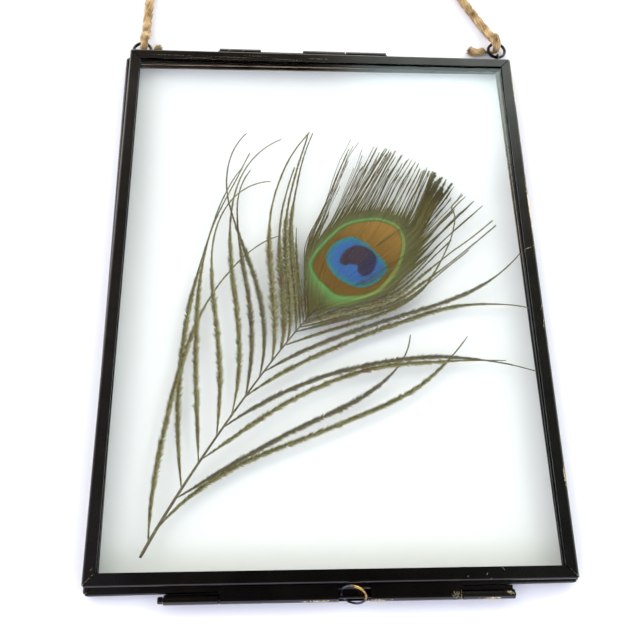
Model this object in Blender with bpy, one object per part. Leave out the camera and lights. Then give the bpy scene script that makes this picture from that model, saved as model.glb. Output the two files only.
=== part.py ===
"""A peacock feather pressed between the two panes of a small hinged hanging frame.

The frame lies on its back: X runs along its width, +Y towards the hinge and the hanging
rings, +Z up through the panes. Each half is a pane held in four mitred channel rails. The
front half swings on a pin through rolled knuckles along the top. At the bottom a second pin
is pushed through four rolled tubes and keeps the frame shut.
Lengths are in metres, and places are given from the middle of the front half.
"""

import math

import bmesh
import bpy
from mathutils import Matrix, Vector
from mathutils.geometry import delaunay_2d_cdt

MM = 0.001

# Driving dimensions
FRONT_WIDTH = 0.158
FRONT_HEIGHT = 0.206
BACK_WIDTH = 0.1592
BACK_HEIGHT = 0.2075
BACK_MIDDLE = (-0.00065, -0.0012)
BACK_TURN = math.radians(0.55)
HALF_THICKNESS = 0.0034
RAIL_FACE = 0.0042
SHEET = 0.00045
PANE_THICKNESS = 0.0018
CLEARANCE = 0.0003
FRONT_BASE = HALF_THICKNESS + CLEARANCE
WHOLE_THICKNESS = FRONT_BASE + HALF_THICKNESS
EDGE_ROUND = 0.0008
FRONT_CORNER_ROUND = 0.0012
BACK_CORNER_ROUND = 0.0020
# The middle of the front half, seen from the middle of the whole object's outline
FRONT_MIDDLE = (0.00065, -0.0029)

# Hinge along the top, and closure along the bottom
AXIS_HEIGHT = 0.00355
HINGE_Y = FRONT_HEIGHT / 2 + 0.0020
HINGE_ROLL = 0.0017
HINGE_PIN = 0.0008
CLOSURE_Y = -FRONT_HEIGHT / 2 - 0.0042
CLOSURE_ROLL = 0.00145
CLOSURE_PIN = 0.0005
ROLL_SHEET = 0.0005
LINK_MIDDLE = (0.0058, -0.1065, 0.00445)
LINK_RADIUS = 0.0041
LINK_WIRE = 0.00035
LINK_FACING = (-0.278, -0.755, 0.594)
HINGE_BACK_SPANS = ((-0.0430, -0.0259), (0.0097, 0.0266))
HINGE_FRONT_SPAN = (-0.0083, 0.0093)
CLOSURE_BACK_SPANS = ((-0.0539, -0.0368), (0.0410, 0.0580))
CLOSURE_FRONT_SPANS = ((-0.0364, 0.0011), (0.0115, 0.0406))
LIP_SPAN = (-0.0536, 0.0577)
LIP_EDGE_Y = -0.1085
LEAF_GAP = 0.0001

# Hanging rings, their eyes and the twine
RING_RADIUS = 0.0036
RING_WIRE = 0.00065
RING_HEIGHT = 0.00165
EYE_WIRE = 0.0003
EYE_BEND = RING_WIRE + CLEARANCE + EYE_WIRE
RING_PLACES = {"left": (-0.0753, 0.1068), "right": (0.0756, 0.1117)}
TWINE_RADIUS = 0.00185
TWINE_STEP = 0.0072
KNOT_STEP = 0.0012

# Feather
QUILL_END = (-0.0620, -0.0944)
RACHIS_LENGTH = 0.1227
RACHIS_HEADINGS = (63, 57, 53, 43)
RACHIS_HEIGHT = 0.00345
RACHIS_RADIUS = (0.00062, 0.00058, 0.00048, 0.00036, 0.00022)
BLADE_BASE = 0.0030
BLADE_THICKNESS = 0.0005
LOCK_WIDTH = 0.0019
LOCK_STEPS = 10
# One row for each long lock of barbs: where it leaves the rachis as a share of the rachis's
# length, its length in millimetres, and its heading in degrees from +X at four even stations
LEFT_LOCKS = (
    (0.040, 124, (92, 80, 66, 20)),
    (0.200, 133, (99, 87, 75, 64)),
    (0.279, 116, (94, 92, 81, 57)),
    (0.366, 110, (85, 97, 84, 3)),
    (0.436, 119, (76, 97, 85, 25)),
    (0.504, 91, (79, 96, 98, 58)),
    (0.569, 104, (76, 105, 103, 47)),
    (0.629, 99, (79, 95, 78, 54)),
    (0.671, 76, (74, 95, 84, 76)),
    (0.706, 88, (76, 95, 79, 79)),
    (0.746, 85, (85, 94, 80, 73)),
    (0.780, 83, (89, 90, 66, 51)),
    (0.800, 80, (95, 85, 59, 64)),
)
RIGHT_LOCKS = (
    (0.073, 129, (53, 23, 25, 56)),
    (0.172, 102, (29, 28, 29, 81)),
    (0.289, 116, (34, 28, 8, 0)),
    (0.397, 117, (36, 19, 2, -17)),
    (0.501, 112, (39, 24, 16, -15)),
    (0.589, 109, (31, 20, 21, 51)),
    (0.671, 98, (31, 23, 36, 45)),
    (0.718, 95, (26, 24, 45, 54)),
    (0.766, 90, (16, 29, 57, 51)),
    (0.790, 87, (9, 35, 61, 42)),
)
# The close vane round the eye, anticlockwise from where it starts on the rachis
EYE_VANE = (
    (-0.0076, -0.0140),
    (0.0040, -0.0110),
    (0.0170, -0.0085),
    (0.0260, -0.0020),
    (0.0320, 0.0070),
    (0.0375, 0.0190),
    (0.0400, 0.0330),
    (0.0330, 0.0400),
    (0.0230, 0.0425),
    (0.0120, 0.0420),
    (0.0030, 0.0370),
    (-0.0030, 0.0280),
    (-0.0078, 0.0170),
    (-0.0092, 0.0070),
    (-0.0088, -0.0040),
)
EYE_MIDDLE = (0.0120, 0.0115)
FRINGE_LOCKS = 17
FRINGE_ARC = (97, 36)
FRINGE_START = 0.0240
FRINGE_REACH = (0.0500, 0.0520, 0.0490, 0.0490, 0.0470)
FRINGE_WIDTH = 0.0024

# Paint, metal, glass, feather and twine, as linear colours
PAINT = (0.018, 0.015, 0.014)
BRASS = (0.52, 0.36, 0.13)
GLASS = (0.92, 0.97, 0.96)
FEATHER = (0.085, 0.080, 0.038)
TWINE = (0.55, 0.42, 0.27)


def make_material(name, colour, roughness, metallic=0.0, transmission=0.0):
    material = bpy.data.materials.new(name)
    material.use_nodes = True
    shader = material.node_tree.nodes["Principled BSDF"]
    shader.inputs["Base Color"].default_value = (*colour, 1.0)
    shader.inputs["Roughness"].default_value = roughness
    shader.inputs["Metallic"].default_value = metallic
    shader.inputs["Transmission Weight"].default_value = transmission
    return material


def place(name, data, material, parent, location=(0, 0, 0)):
    """A named object that shows data, at a location given from its parent."""
    data.materials.append(material)
    piece = bpy.data.objects.new(name, data)
    bpy.context.scene.collection.objects.link(piece)
    piece.parent = parent
    piece.location = location
    return piece


def make_empty(name, parent=None, location=(0, 0, 0), turn=0.0):
    empty = bpy.data.objects.new(name, None)
    bpy.context.scene.collection.objects.link(empty)
    empty.parent = parent
    empty.location = location
    empty.rotation_euler = (0, 0, turn)
    return empty


def loft(name, loops):
    """A closed mesh through loops of points that match one to one, capped at both ends."""
    form = bmesh.new()
    rings = [[form.verts.new(point) for point in loop] for loop in loops]
    for first, second in zip(rings, rings[1:]):
        for i in range(len(first)):
            j = (i + 1) % len(first)
            form.faces.new((first[i], first[j], second[j], second[i]))
    form.faces.new(rings[0])
    form.faces.new(rings[-1])
    bmesh.ops.recalc_face_normals(form, faces=form.faces)
    mesh = bpy.data.meshes.new(name)
    form.to_mesh(mesh)
    form.free()
    return mesh


def arc(middle, radius, start, end, count):
    """Points on an arc, angles in degrees, both ends included."""
    angles = [math.radians(start + (end - start) * i / (count - 1)) for i in range(count)]
    return [(middle[0] + radius * math.cos(a), middle[1] + radius * math.sin(a)) for a in angles]


def smooth(mesh, angle=35):
    mesh.shade_smooth()
    mesh.set_sharp_from_angle(angle=math.radians(angle))


# Frame halves


def channel_outline():
    """The rail's section: distance in from the outer edge, and height above its base."""
    top = HALF_THICKNESS
    low_edge = arc((EDGE_ROUND, EDGE_ROUND), EDGE_ROUND, 270, 180, 5)
    high_edge = arc((EDGE_ROUND, top - EDGE_ROUND), EDGE_ROUND, 180, 90, 5)
    lips = [(RAIL_FACE, top), (RAIL_FACE, top - SHEET), (SHEET, top - SHEET)]
    lips += [(SHEET, SHEET), (RAIL_FACE, SHEET), (RAIL_FACE, 0)]
    return low_edge + high_edge + lips


def rail_mesh(name, side, width, height, base):
    """One mitred rail, set in a little at each mitre so that it clears its neighbours."""
    along, out = {
        "top": ((1, 0), (0, 1)),
        "bottom": ((1, 0), (0, -1)),
        "left": ((0, 1), (-1, 0)),
        "right": ((0, 1), (1, 0)),
    }[side]
    half_length = (width if along[0] else height) / 2
    half_depth = (height if along[0] else width) / 2
    set_in = CLEARANCE / 2 * math.sqrt(2)
    loops = []
    for end in (-1, 1):
        loop = []
        for inward, rise in channel_outline():
            run = end * (half_length - inward - set_in)
            off = half_depth - inward
            x = along[0] * run + out[0] * off
            y = along[1] * run + out[1] * off
            loop.append((x, y, base + rise))
        loops.append(loop)
    return loft(name, loops)


def rounded_slab(name, width, height, radius, parent):
    """A hidden form with rounded corners that trims the mitred corners of one half."""
    corners = []
    for x, y, start in ((1, 1, 0), (-1, 1, 90), (-1, -1, 180), (1, -1, 270)):
        middle = (x * (width / 2 - radius), y * (height / 2 - radius))
        corners += arc(middle, radius, start, start + 90, 5)
    low, high = -WHOLE_THICKNESS, 2 * WHOLE_THICKNESS
    mesh = loft(name, [[(x, y, z) for x, y in corners] for z in (low, high)])
    slab = bpy.data.objects.new(name, mesh)
    bpy.context.scene.collection.objects.link(slab)
    slab.parent = parent
    slab.hide_render = True
    slab.display_type = "WIRE"
    return slab


def pane_mesh(name, width, height, base):
    """A pane of glass with arrised edges."""
    form = bmesh.new()
    bmesh.ops.create_cube(form, size=1)
    size = (width, height, PANE_THICKNESS)
    bmesh.ops.scale(form, vec=size, verts=form.verts)
    bmesh.ops.translate(form, vec=(0, 0, base + PANE_THICKNESS / 2), verts=form.verts)
    arris = 0.0002
    bmesh.ops.bevel(form, geom=form.edges, offset=arris, segments=1, affect="EDGES")
    mesh = bpy.data.meshes.new(name)
    form.to_mesh(mesh)
    form.free()
    return mesh


def make_half(label, width, height, base, corner, pane_base, parent, offset, materials):
    """The four rails and the pane of one half."""
    slab = rounded_slab(label + "_corner_form", width, height, corner, parent)
    slab.location = offset
    for side in ("top", "bottom", "left", "right"):
        name = f"{label}_rail_{side}"
        rail = place(name, rail_mesh(name, side, width, height, base), materials["paint"], parent, offset)
        smooth(rail.data)
        trim = rail.modifiers.new("rounded corner", "BOOLEAN")
        trim.operation = "INTERSECT"
        trim.object = slab
    margin = 2 * (SHEET + CLEARANCE)
    name = label + "_glass"
    pane = pane_mesh(name, width - margin, height - margin, pane_base)
    place(name, pane, materials["glass"], parent, offset)


# Hinge, closure and pins


def roll_outline(axis_y, radius, start, end, leaf_near, leaf_far):
    """Sheet rolled round a pin, in (y, z): a leaf of two points on each face, and the roll."""
    middle = (axis_y, AXIS_HEIGHT)
    outer = arc(middle, radius, start, end, 13)
    inner = arc(middle, radius - ROLL_SHEET, end, start, 13)
    return [leaf_near] + outer + inner + [leaf_far]


def make_roll(name, outlines, span, parent, offset, material):
    loops = [[(x, y, z) for y, z in outline] for x, outline in zip(span, outlines)]
    roll = place(name, loft(name, loops), material, parent, offset)
    smooth(roll.data)


def hinge_back_outline(wall_y):
    """The leaf runs level from the back half's top wall to the underside of the roll."""
    low = AXIS_HEIGHT - HINGE_ROLL
    near, far = (wall_y, low), (wall_y, low + ROLL_SHEET)
    return roll_outline(HINGE_Y, HINGE_ROLL, 270, 540, near, far)


def hinge_front_outline():
    """The leaf stands against the front half's top wall and turns under into the roll."""
    near_y = HINGE_Y - HINGE_ROLL
    top = WHOLE_THICKNESS - 0.0006
    near, far = (near_y, top), (near_y + ROLL_SHEET, top)
    return roll_outline(HINGE_Y, HINGE_ROLL, 180, 450, near, far)


def closure_leaf_end(x):
    """Where a leaf meets the back half's bottom wall, which runs at a slight slant."""
    slant = (x - BACK_MIDDLE[0]) * math.tan(BACK_TURN)
    return BACK_MIDDLE[1] - BACK_HEIGHT / 2 + slant - LEAF_GAP


def closure_back_outline(wall_y):
    """The leaf runs level from the back half's bottom wall to the underside of the roll."""
    low = AXIS_HEIGHT - CLOSURE_ROLL
    near, far = (wall_y, low), (wall_y, low + ROLL_SHEET)
    return roll_outline(CLOSURE_Y, CLOSURE_ROLL, 270, 0, near, far)


def make_closure_lip(parent, material):
    """The back half's lip under the tubes, flat on the table and clear of the small ring."""
    low, high = 0, SHEET
    loops = []
    for x in LIP_SPAN:
        wall_y = closure_leaf_end(x)
        loops.append([(x, wall_y, low), (x, wall_y, high), (x, LIP_EDGE_Y, high), (x, LIP_EDGE_Y, low)])
    place("closure_lip", loft("closure_lip", loops), material, parent)


def closure_front_outline():
    """The leaf runs level from the front half's bottom wall to the top of the roll."""
    high = AXIS_HEIGHT + CLOSURE_ROLL
    wall_y = -FRONT_HEIGHT / 2 - CLEARANCE
    near, far = (wall_y, high), (wall_y, high - ROLL_SHEET)
    return roll_outline(CLOSURE_Y, CLOSURE_ROLL, 90, 360, near, far)


def turned_mesh(name, profile, sides=16):
    """A pin turned round the X axis from (x, radius) pairs."""
    loops = []
    for x, radius in profile:
        loops.append([(x, y, z) for y, z in arc((0, 0), radius, 0, 360, sides + 1)[:-1]])
    mesh = loft(name, loops)
    smooth(mesh)
    return mesh


def tube_curve(name, points, radius, closed=False):
    """A round wire or twine through the points, with flat ends unless it is closed."""
    curve = bpy.data.curves.new(name, "CURVE")
    curve.dimensions = "3D"
    curve.bevel_depth = radius
    curve.bevel_resolution = 2
    curve.use_fill_caps = not closed
    spline = curve.splines.new("POLY")
    spline.points.add(len(points) - 1)
    for target, point in zip(spline.points, points):
        target.co = (*point, 1)
    spline.use_cyclic_u = closed
    return curve


def ring_points(middle, radius, turn, count):
    """Points round a ring whose level circle is turned by a matrix about its middle."""
    flat = [Vector((x, y, 0)) for x, y in arc((0, 0), radius, 0, 360, count + 1)[:-1]]
    return [Vector(middle) + turn @ point for point in flat]


def eye_points(x, wall_y, bend_y):
    """A staple's two legs, one above the other, joined by a half turn round the ring."""
    legs = [(wall_y, RING_HEIGHT + EYE_BEND)]
    bend = arc((bend_y, RING_HEIGHT), EYE_BEND, 90, -90, 9)
    return [(x, y, z) for y, z in legs + bend + [(wall_y, RING_HEIGHT - EYE_BEND)]]


def back_wall_y(x):
    """The outer face of the back half's top rail, which runs at a slight slant."""
    return BACK_MIDDLE[1] + BACK_HEIGHT / 2 + (x - BACK_MIDDLE[0]) * math.tan(BACK_TURN)


def make_hanging_parts(parent, paint):
    for side, (x, y) in RING_PLACES.items():
        ring = ring_points((x, y, RING_HEIGHT), RING_RADIUS, Matrix.Identity(3), 20)
        place(f"hanging_ring_{side}", tube_curve("ring", ring, RING_WIRE, True), paint, parent)
        eye = eye_points(x, back_wall_y(x) + CLEARANCE, y - RING_RADIUS)
        place(f"ring_eye_{side}", tube_curve("eye", eye, EYE_WIRE), paint, parent)


# Twine


def flowing(points, step):
    """Points read evenly, about a step apart, from a smooth curve through the given ones."""
    known = [Vector(p) for p in points]
    known = [2 * known[0] - known[1]] + known + [2 * known[-1] - known[-2]]
    dense = []
    for a, b, c, d in zip(known, known[1:], known[2:], known[3:]):
        for i in range(20):
            t = i / 20
            ahead = (c - a) * t + (2 * a - 5 * b + 4 * c - d) * t**2 + (3 * b - a - 3 * c + d) * t**3
            dense.append(b + ahead / 2)
    dense.append(known[-2])
    lengths = [0.0]
    for a, b in zip(dense, dense[1:]):
        lengths.append(lengths[-1] + (b - a).length)
    count = round(lengths[-1] / step)
    even = []
    k = 0
    for i in range(count + 1):
        target = lengths[-1] * i / count
        while k < len(lengths) - 2 and lengths[k + 1] < target:
            k += 1
        share = (target - lengths[k]) / (lengths[k + 1] - lengths[k])
        even.append(dense[k].lerp(dense[k + 1], min(max(share, 0), 1)))
    return even


# The twine's route, from the knot on the left ring to the knot on the right one
TWINE_ROUTE = (
    (-0.0742, 0.1132, 0.00280),
    (-0.0742, 0.1160, 0.00205),
    (-0.0741, 0.1230, 0.00190),
    (-0.0738, 0.1335, 0.00190),
    (-0.0731, 0.1455, 0.00190),
    (-0.0711, 0.1580, 0.00190),
    (-0.0665, 0.1700, 0.00190),
    (-0.0590, 0.1810, 0.00190),
    (-0.0485, 0.1905, 0.00190),
    (-0.0355, 0.1980, 0.00190),
    (-0.0205, 0.2025, 0.00190),
    (-0.0045, 0.2035, 0.00190),
    (0.0110, 0.2005, 0.00190),
    (0.0250, 0.1935, 0.00190),
    (0.0370, 0.1830, 0.00190),
    (0.0462, 0.1705, 0.00190),
    (0.0535, 0.1575, 0.00190),
    (0.0593, 0.1460, 0.00190),
    (0.0637, 0.1370, 0.00190),
    (0.0683, 0.1284, 0.00190),
    (0.0722, 0.1215, 0.00200),
    (0.0738, 0.1178, 0.00290),
)
# Each knot runs over its ring's wire, down into the ring, under the wire and out to a cut end.
# The fourth number is its radius, which is least where it squeezes under the wire.
LEFT_KNOT = (
    (-0.0742, 0.1125, 0.00345, 0.00180),
    (-0.0742, 0.1106, 0.00430, 0.00165),
    (-0.0743, 0.1089, 0.00380, 0.00150),
    (-0.0746, 0.1074, 0.00270, 0.00140),
    (-0.0748, 0.1066, 0.00150, 0.00110),
    (-0.0741, 0.1066, 0.00075, 0.00055),
    (-0.0718, 0.1071, 0.00035, 0.00030),
    (-0.0706, 0.1075, 0.00060, 0.00045),
    (-0.0693, 0.1079, 0.00150, 0.00130),
    (-0.0687, 0.1081, 0.00155, 0.00140),
    (-0.0681, 0.1082, 0.00150, 0.00120),
)
RIGHT_KNOT = (
    (0.0741, 0.1169, 0.00370, 0.00185),
    (0.0745, 0.1153, 0.00475, 0.00205),
    (0.0748, 0.1135, 0.00440, 0.00190),
    (0.0752, 0.1122, 0.00330, 0.00165),
    (0.0752, 0.1117, 0.00195, 0.00135),
    (0.0745, 0.1115, 0.00085, 0.00065),
    (0.0721, 0.1116, 0.00035, 0.00030),
    (0.0708, 0.1117, 0.00060, 0.00045),
    (0.0695, 0.1115, 0.00150, 0.00135),
    (0.0681, 0.1106, 0.00160, 0.00150),
    (0.0664, 0.1103, 0.00165, 0.00155),
    (0.0648, 0.1110, 0.00170, 0.00160),
    (0.0637, 0.1116, 0.00170, 0.00150),
)


def make_twine(parent, material):
    route = flowing(TWINE_ROUTE, TWINE_STEP)
    place("twine", tube_curve("twine", route, TWINE_RADIUS), material, parent)
    for name, knot in (("twine_knot_left", LEFT_KNOT), ("twine_knot_right", RIGHT_KNOT)):
        curve = tube_curve(name, [p[:3] for p in flowing(knot, KNOT_STEP)], 1.0)
        for target, point in zip(curve.splines[0].points, flowing(knot, KNOT_STEP)):
            target.radius = point[3]
        place(name, curve, material, parent)


# Feather


def heading_at(headings, share):
    """The heading in radians at a share of the length: a cubic through four even stations."""
    total = 0.0
    for i, value in enumerate(headings):
        weight = 1.0
        for j in range(len(headings)):
            if j != i:
                weight *= (share * 3 - j) / (i - j)
        total += weight * value
    return math.radians(total)


def walk(start, length, headings, steps):
    """Points along a path that starts at a place and turns as its headings say."""
    fine = 12
    points = [Vector(start)]
    here = Vector(start)
    stride = length / (steps * fine)
    for i in range(steps * fine):
        angle = heading_at(headings, (i + 0.5) / (steps * fine))
        here = here + stride * Vector((math.cos(angle), math.sin(angle)))
        if (i + 1) % fine == 0:
            points.append(here)
    return points


def strip(points, widths):
    """The outline of a flat lock round its path."""
    left, right = [], []
    for i, point in enumerate(points):
        before, after = points[max(i - 1, 0)], points[min(i + 1, len(points) - 1)]
        side = (after - before).orthogonal().normalized()
        left.append(point + side * widths[i] / 2)
        right.append(point - side * widths[i] / 2)
    return right + left[::-1]


def lock_widths(steps, widest):
    """Narrow where the barbs leave the shaft, full in the middle and tapered to the tip."""
    shares = [i / steps for i in range(steps + 1)]
    swell = [min(1.0, 0.4 + 3.0 * s) * (1.0 - 0.72 * max(0.0, s - 0.45) / 0.55) for s in shares]
    return [widest * value for value in swell]


def fringe_strips():
    """Locks that fan out past the eye to the fringe's tips."""
    strips = []
    for i in range(FRINGE_LOCKS):
        share = i / (FRINGE_LOCKS - 1)
        angle = math.radians(FRINGE_ARC[0] + (FRINGE_ARC[1] - FRINGE_ARC[0]) * share)
        slot = share * (len(FRINGE_REACH) - 1)
        k = min(int(slot), len(FRINGE_REACH) - 2)
        reach = FRINGE_REACH[k] + (FRINGE_REACH[k + 1] - FRINGE_REACH[k]) * (slot - k)
        reach *= 1.0 if i % 2 else 0.93
        out = Vector((math.cos(angle), math.sin(angle)))
        middle = Vector(EYE_MIDDLE)
        points = [middle + out * (FRINGE_START + (reach - FRINGE_START) * s / 3) for s in range(4)]
        strips.append(strip(points, [FRINGE_WIDTH, FRINGE_WIDTH, 0.7 * FRINGE_WIDTH, 0.0006]))
    return strips


def blade_mesh(name):
    """The vanes as one flat blade: every lock and the eye's vane, merged in plan."""
    shaft = walk(QUILL_END, RACHIS_LENGTH, RACHIS_HEADINGS, 200)
    outlines = [[Vector(point) for point in EYE_VANE]]
    for share, length, headings in LEFT_LOCKS + RIGHT_LOCKS:
        path = walk(shaft[round(share * 200)], length * MM, headings, LOCK_STEPS)
        outlines.append(strip(path, lock_widths(LOCK_STEPS, LOCK_WIDTH)))
    outlines += fringe_strips()
    spine = walk(QUILL_END, RACHIS_LENGTH, RACHIS_HEADINGS, 16)[1:]
    outlines.append(strip(spine, [0.0008] * len(spine)))
    points, loops = [], []
    for outline in outlines:
        loops.append(list(range(len(points), len(points) + len(outline))))
        points += outline
    made = delaunay_2d_cdt(points, [], loops, 1, 1e-7, True)
    flat_points, triangles, sources = made[0], made[2], made[5]
    kept = [t for t, source in zip(triangles, sources) if source]
    form = bmesh.new()
    corners = [form.verts.new((p.x, p.y, BLADE_BASE)) for p in flat_points]
    for triangle in kept:
        form.faces.new([corners[i] for i in triangle])
    loose = [v for v in form.verts if not v.link_faces]
    bmesh.ops.delete(form, geom=loose, context="VERTS")
    raised = bmesh.ops.extrude_face_region(form, geom=form.faces[:])["geom"]
    moved = [item for item in raised if isinstance(item, bmesh.types.BMVert)]
    bmesh.ops.translate(form, vec=(0, 0, BLADE_THICKNESS), verts=moved)
    bmesh.ops.recalc_face_normals(form, faces=form.faces)
    mesh = bpy.data.meshes.new(name)
    form.to_mesh(mesh)
    form.free()
    return mesh


def rachis_mesh(name):
    """The tapering shaft, a little flattened, from the quill's cut end to inside the eye."""
    path = walk(QUILL_END, RACHIS_LENGTH, RACHIS_HEADINGS, 16)
    loops = []
    for i, point in enumerate(path):
        before, after = path[max(i - 1, 0)], path[min(i + 1, len(path) - 1)]
        side = (after - before).orthogonal().normalized()
        slot = i / (len(path) - 1) * (len(RACHIS_RADIUS) - 1)
        k = min(int(slot), len(RACHIS_RADIUS) - 2)
        radius = RACHIS_RADIUS[k] + (RACHIS_RADIUS[k + 1] - RACHIS_RADIUS[k]) * (slot - k)
        loop = []
        for across, rise in arc((0, 0), radius, 0, 360, 9)[:-1]:
            spot = point + side * across
            loop.append((spot.x, spot.y, RACHIS_HEIGHT + rise * 0.92))
        loops.append(loop)
    return loft(name, loops)


def make_feather(parent, material):
    feather = place("feather", rachis_mesh("feather"), material, parent)
    blade = place("feather_blade_form", blade_mesh("blade"), material, parent)
    blade.hide_render = True
    blade.display_type = "WIRE"
    fuse = feather.modifiers.new("vanes", "BOOLEAN")
    fuse.operation = "UNION"
    fuse.object = blade


# Assembly


def clear_scene():
    for leftover in list(bpy.data.objects):
        bpy.data.objects.remove(leftover)


def main():
    clear_scene()
    materials = {
        "paint": make_material("blackened_metal", PAINT, 0.38, 0.6),
        "brass": make_material("brass", BRASS, 0.35, 1.0),
        "glass": make_material("glass", GLASS, 0.02, 0.0, 1.0),
        "feather": make_material("feather", FEATHER, 0.6),
        "twine": make_material("jute_twine", TWINE, 0.9),
    }
    frame = make_empty("front_middle", None, (*FRONT_MIDDLE, 0))
    back = make_empty("back_middle", frame, (*BACK_MIDDLE, 0), BACK_TURN)
    hinge = make_empty("front_hinge", frame, (0, HINGE_Y, AXIS_HEIGHT))
    from_hinge = (0, -HINGE_Y, -AXIS_HEIGHT)

    back_pane_base = SHEET + CLEARANCE
    front_pane_base = WHOLE_THICKNESS - SHEET - CLEARANCE - PANE_THICKNESS
    make_half(
        "back", BACK_WIDTH, BACK_HEIGHT, 0, BACK_CORNER_ROUND, back_pane_base, back, (0, 0, 0), materials
    )
    make_half(
        "front",
        FRONT_WIDTH,
        FRONT_HEIGHT,
        FRONT_BASE,
        FRONT_CORNER_ROUND,
        front_pane_base,
        hinge,
        from_hinge,
        materials,
    )

    paint = materials["paint"]
    for side, span in zip(("left", "right"), HINGE_BACK_SPANS):
        wall_y = back_wall_y(span[1]) + CLEARANCE
        outlines = [hinge_back_outline(wall_y)] * 2
        make_roll(f"hinge_knuckle_back_{side}", outlines, span, frame, (0, 0, 0), paint)
    outlines = [hinge_front_outline()] * 2
    make_roll("hinge_knuckle_front", outlines, HINGE_FRONT_SPAN, hinge, from_hinge, paint)
    pin_ends = (HINGE_BACK_SPANS[0][0] - 0.0006, HINGE_BACK_SPANS[1][1] + 0.0006)
    hinge_pin = turned_mesh("hinge_pin", [(x, HINGE_PIN) for x in pin_ends])
    place("hinge_pin", hinge_pin, paint, frame, (0, HINGE_Y, AXIS_HEIGHT))

    for side, span in zip(("left", "right"), CLOSURE_BACK_SPANS):
        outlines = [closure_back_outline(closure_leaf_end(x)) for x in span]
        make_roll(f"closure_tube_back_{side}", outlines, span, frame, (0, 0, 0), paint)
    make_closure_lip(frame, paint)
    for side, span in zip(("left", "right"), CLOSURE_FRONT_SPANS):
        outlines = [closure_front_outline()] * 2
        make_roll(f"closure_tube_front_{side}", outlines, span, hinge, from_hinge, paint)
    head_end = CLOSURE_BACK_SPANS[0][0] - CLEARANCE
    head_length = 0.0016
    head_radius = 0.0011
    tail_end = CLOSURE_BACK_SPANS[1][1] + 0.0004
    pin_profile = [
        (head_end - head_length, head_radius * 0.8),
        (head_end - head_length * 0.8, head_radius),
        (head_end, head_radius),
        (head_end + 0.00001, CLOSURE_PIN),
        (tail_end, CLOSURE_PIN),
    ]
    closure_pin = turned_mesh("closure_pin", pin_profile)
    place("closure_pin", closure_pin, paint, frame, (0, CLOSURE_Y, AXIS_HEIGHT))

    lean = Vector(LINK_FACING).to_track_quat("Z", "Y").to_matrix()
    link = ring_points(LINK_MIDDLE, LINK_RADIUS, lean, 24)
    link_curve = tube_curve("closure_ring", link, LINK_WIRE, True)
    place("closure_ring", link_curve, materials["brass"], hinge, from_hinge)

    make_hanging_parts(frame, paint)
    make_twine(frame, materials["twine"])
    make_feather(frame, materials["feather"])


main()
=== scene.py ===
"""The looks of a peacock feather pressed between two panes of a small hinged hanging frame.

The frame lies on its back on a pale table: X along its width, +Y towards the hinge and the
hanging rings, +Z up through the panes. Lengths are in metres. Places on the feather, the
twine and the worn metal are given from the middle of the front half.
"""

import math

import bmesh
import bpy
import numpy as np
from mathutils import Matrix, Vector, noise


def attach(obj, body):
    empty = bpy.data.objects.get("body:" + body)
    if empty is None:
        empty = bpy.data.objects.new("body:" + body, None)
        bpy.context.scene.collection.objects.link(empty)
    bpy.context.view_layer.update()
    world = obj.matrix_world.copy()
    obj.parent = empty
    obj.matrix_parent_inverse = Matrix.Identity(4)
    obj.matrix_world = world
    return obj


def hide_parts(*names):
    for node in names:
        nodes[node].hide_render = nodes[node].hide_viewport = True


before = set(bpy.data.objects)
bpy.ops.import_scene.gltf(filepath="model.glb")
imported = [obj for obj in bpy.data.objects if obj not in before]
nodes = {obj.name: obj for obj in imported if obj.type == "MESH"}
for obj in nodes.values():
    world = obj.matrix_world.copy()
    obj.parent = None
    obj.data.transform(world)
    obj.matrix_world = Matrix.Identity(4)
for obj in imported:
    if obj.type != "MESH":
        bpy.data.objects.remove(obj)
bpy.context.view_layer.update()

MM = 0.001
FRONT_MIDDLE = Vector((0.00065, -0.0029, 0))
# Half the width and height of the opening that the front half's rails leave
FRONT_OPENING = (0.0748, 0.0988)

# The camera, fitted to the frame's corners in the photo
CAMERA_LENS = 39.66469
CAMERA_PLACE = (-0.0184983, -0.1039822, 0.2434641)
CAMERA_TURNS = (20.08678, -3.32537, -0.95449)

# The feather's shaft, on the course of the part's own but finer
QUILL_END = (-0.0620, -0.0944)
SHAFT_LENGTH = 0.1227
SHAFT_HEADINGS = (63, 57, 53, 43)
SHAFT_HEIGHT = 0.00345
SHAFT_RADIUS = (0.00060, 0.00046, 0.00036, 0.00026, 0.00012)
SHAFT_STEPS = 200
BARB_STEPS = 80
# The long loose barbs. Each row gives where a barb leaves the shaft as a share of its length,
# the barb's length in millimetres, and its heading in degrees at four even stations. The part
# has a lock of barbs for each row but the last two on the left, which fill in beside the eye.
LEFT_BARBS = (
    (0.040, 124, (92, 80, 66, 20)),
    (0.200, 133, (99, 87, 75, 64)),
    (0.279, 116, (94, 92, 81, 57)),
    (0.366, 110, (85, 97, 84, 3)),
    (0.436, 119, (76, 97, 85, 25)),
    (0.504, 91, (79, 96, 98, 58)),
    (0.569, 104, (76, 105, 103, 47)),
    (0.629, 99, (79, 95, 78, 54)),
    (0.671, 76, (74, 95, 84, 76)),
    (0.706, 88, (76, 95, 79, 79)),
    (0.746, 85, (85, 94, 80, 73)),
    (0.765, 46, (88, 97, 93, 86)),
    (0.781, 38, (90, 96, 93, 87)),
)
RIGHT_BARBS = (
    (0.073, 129, (53, 23, 25, 56)),
    (0.172, 102, (29, 28, 29, 81)),
    (0.289, 116, (34, 28, 8, 0)),
    (0.397, 117, (36, 19, 2, -17)),
    (0.501, 112, (39, 24, 16, -15)),
    (0.589, 109, (31, 20, 21, 51)),
)
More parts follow.
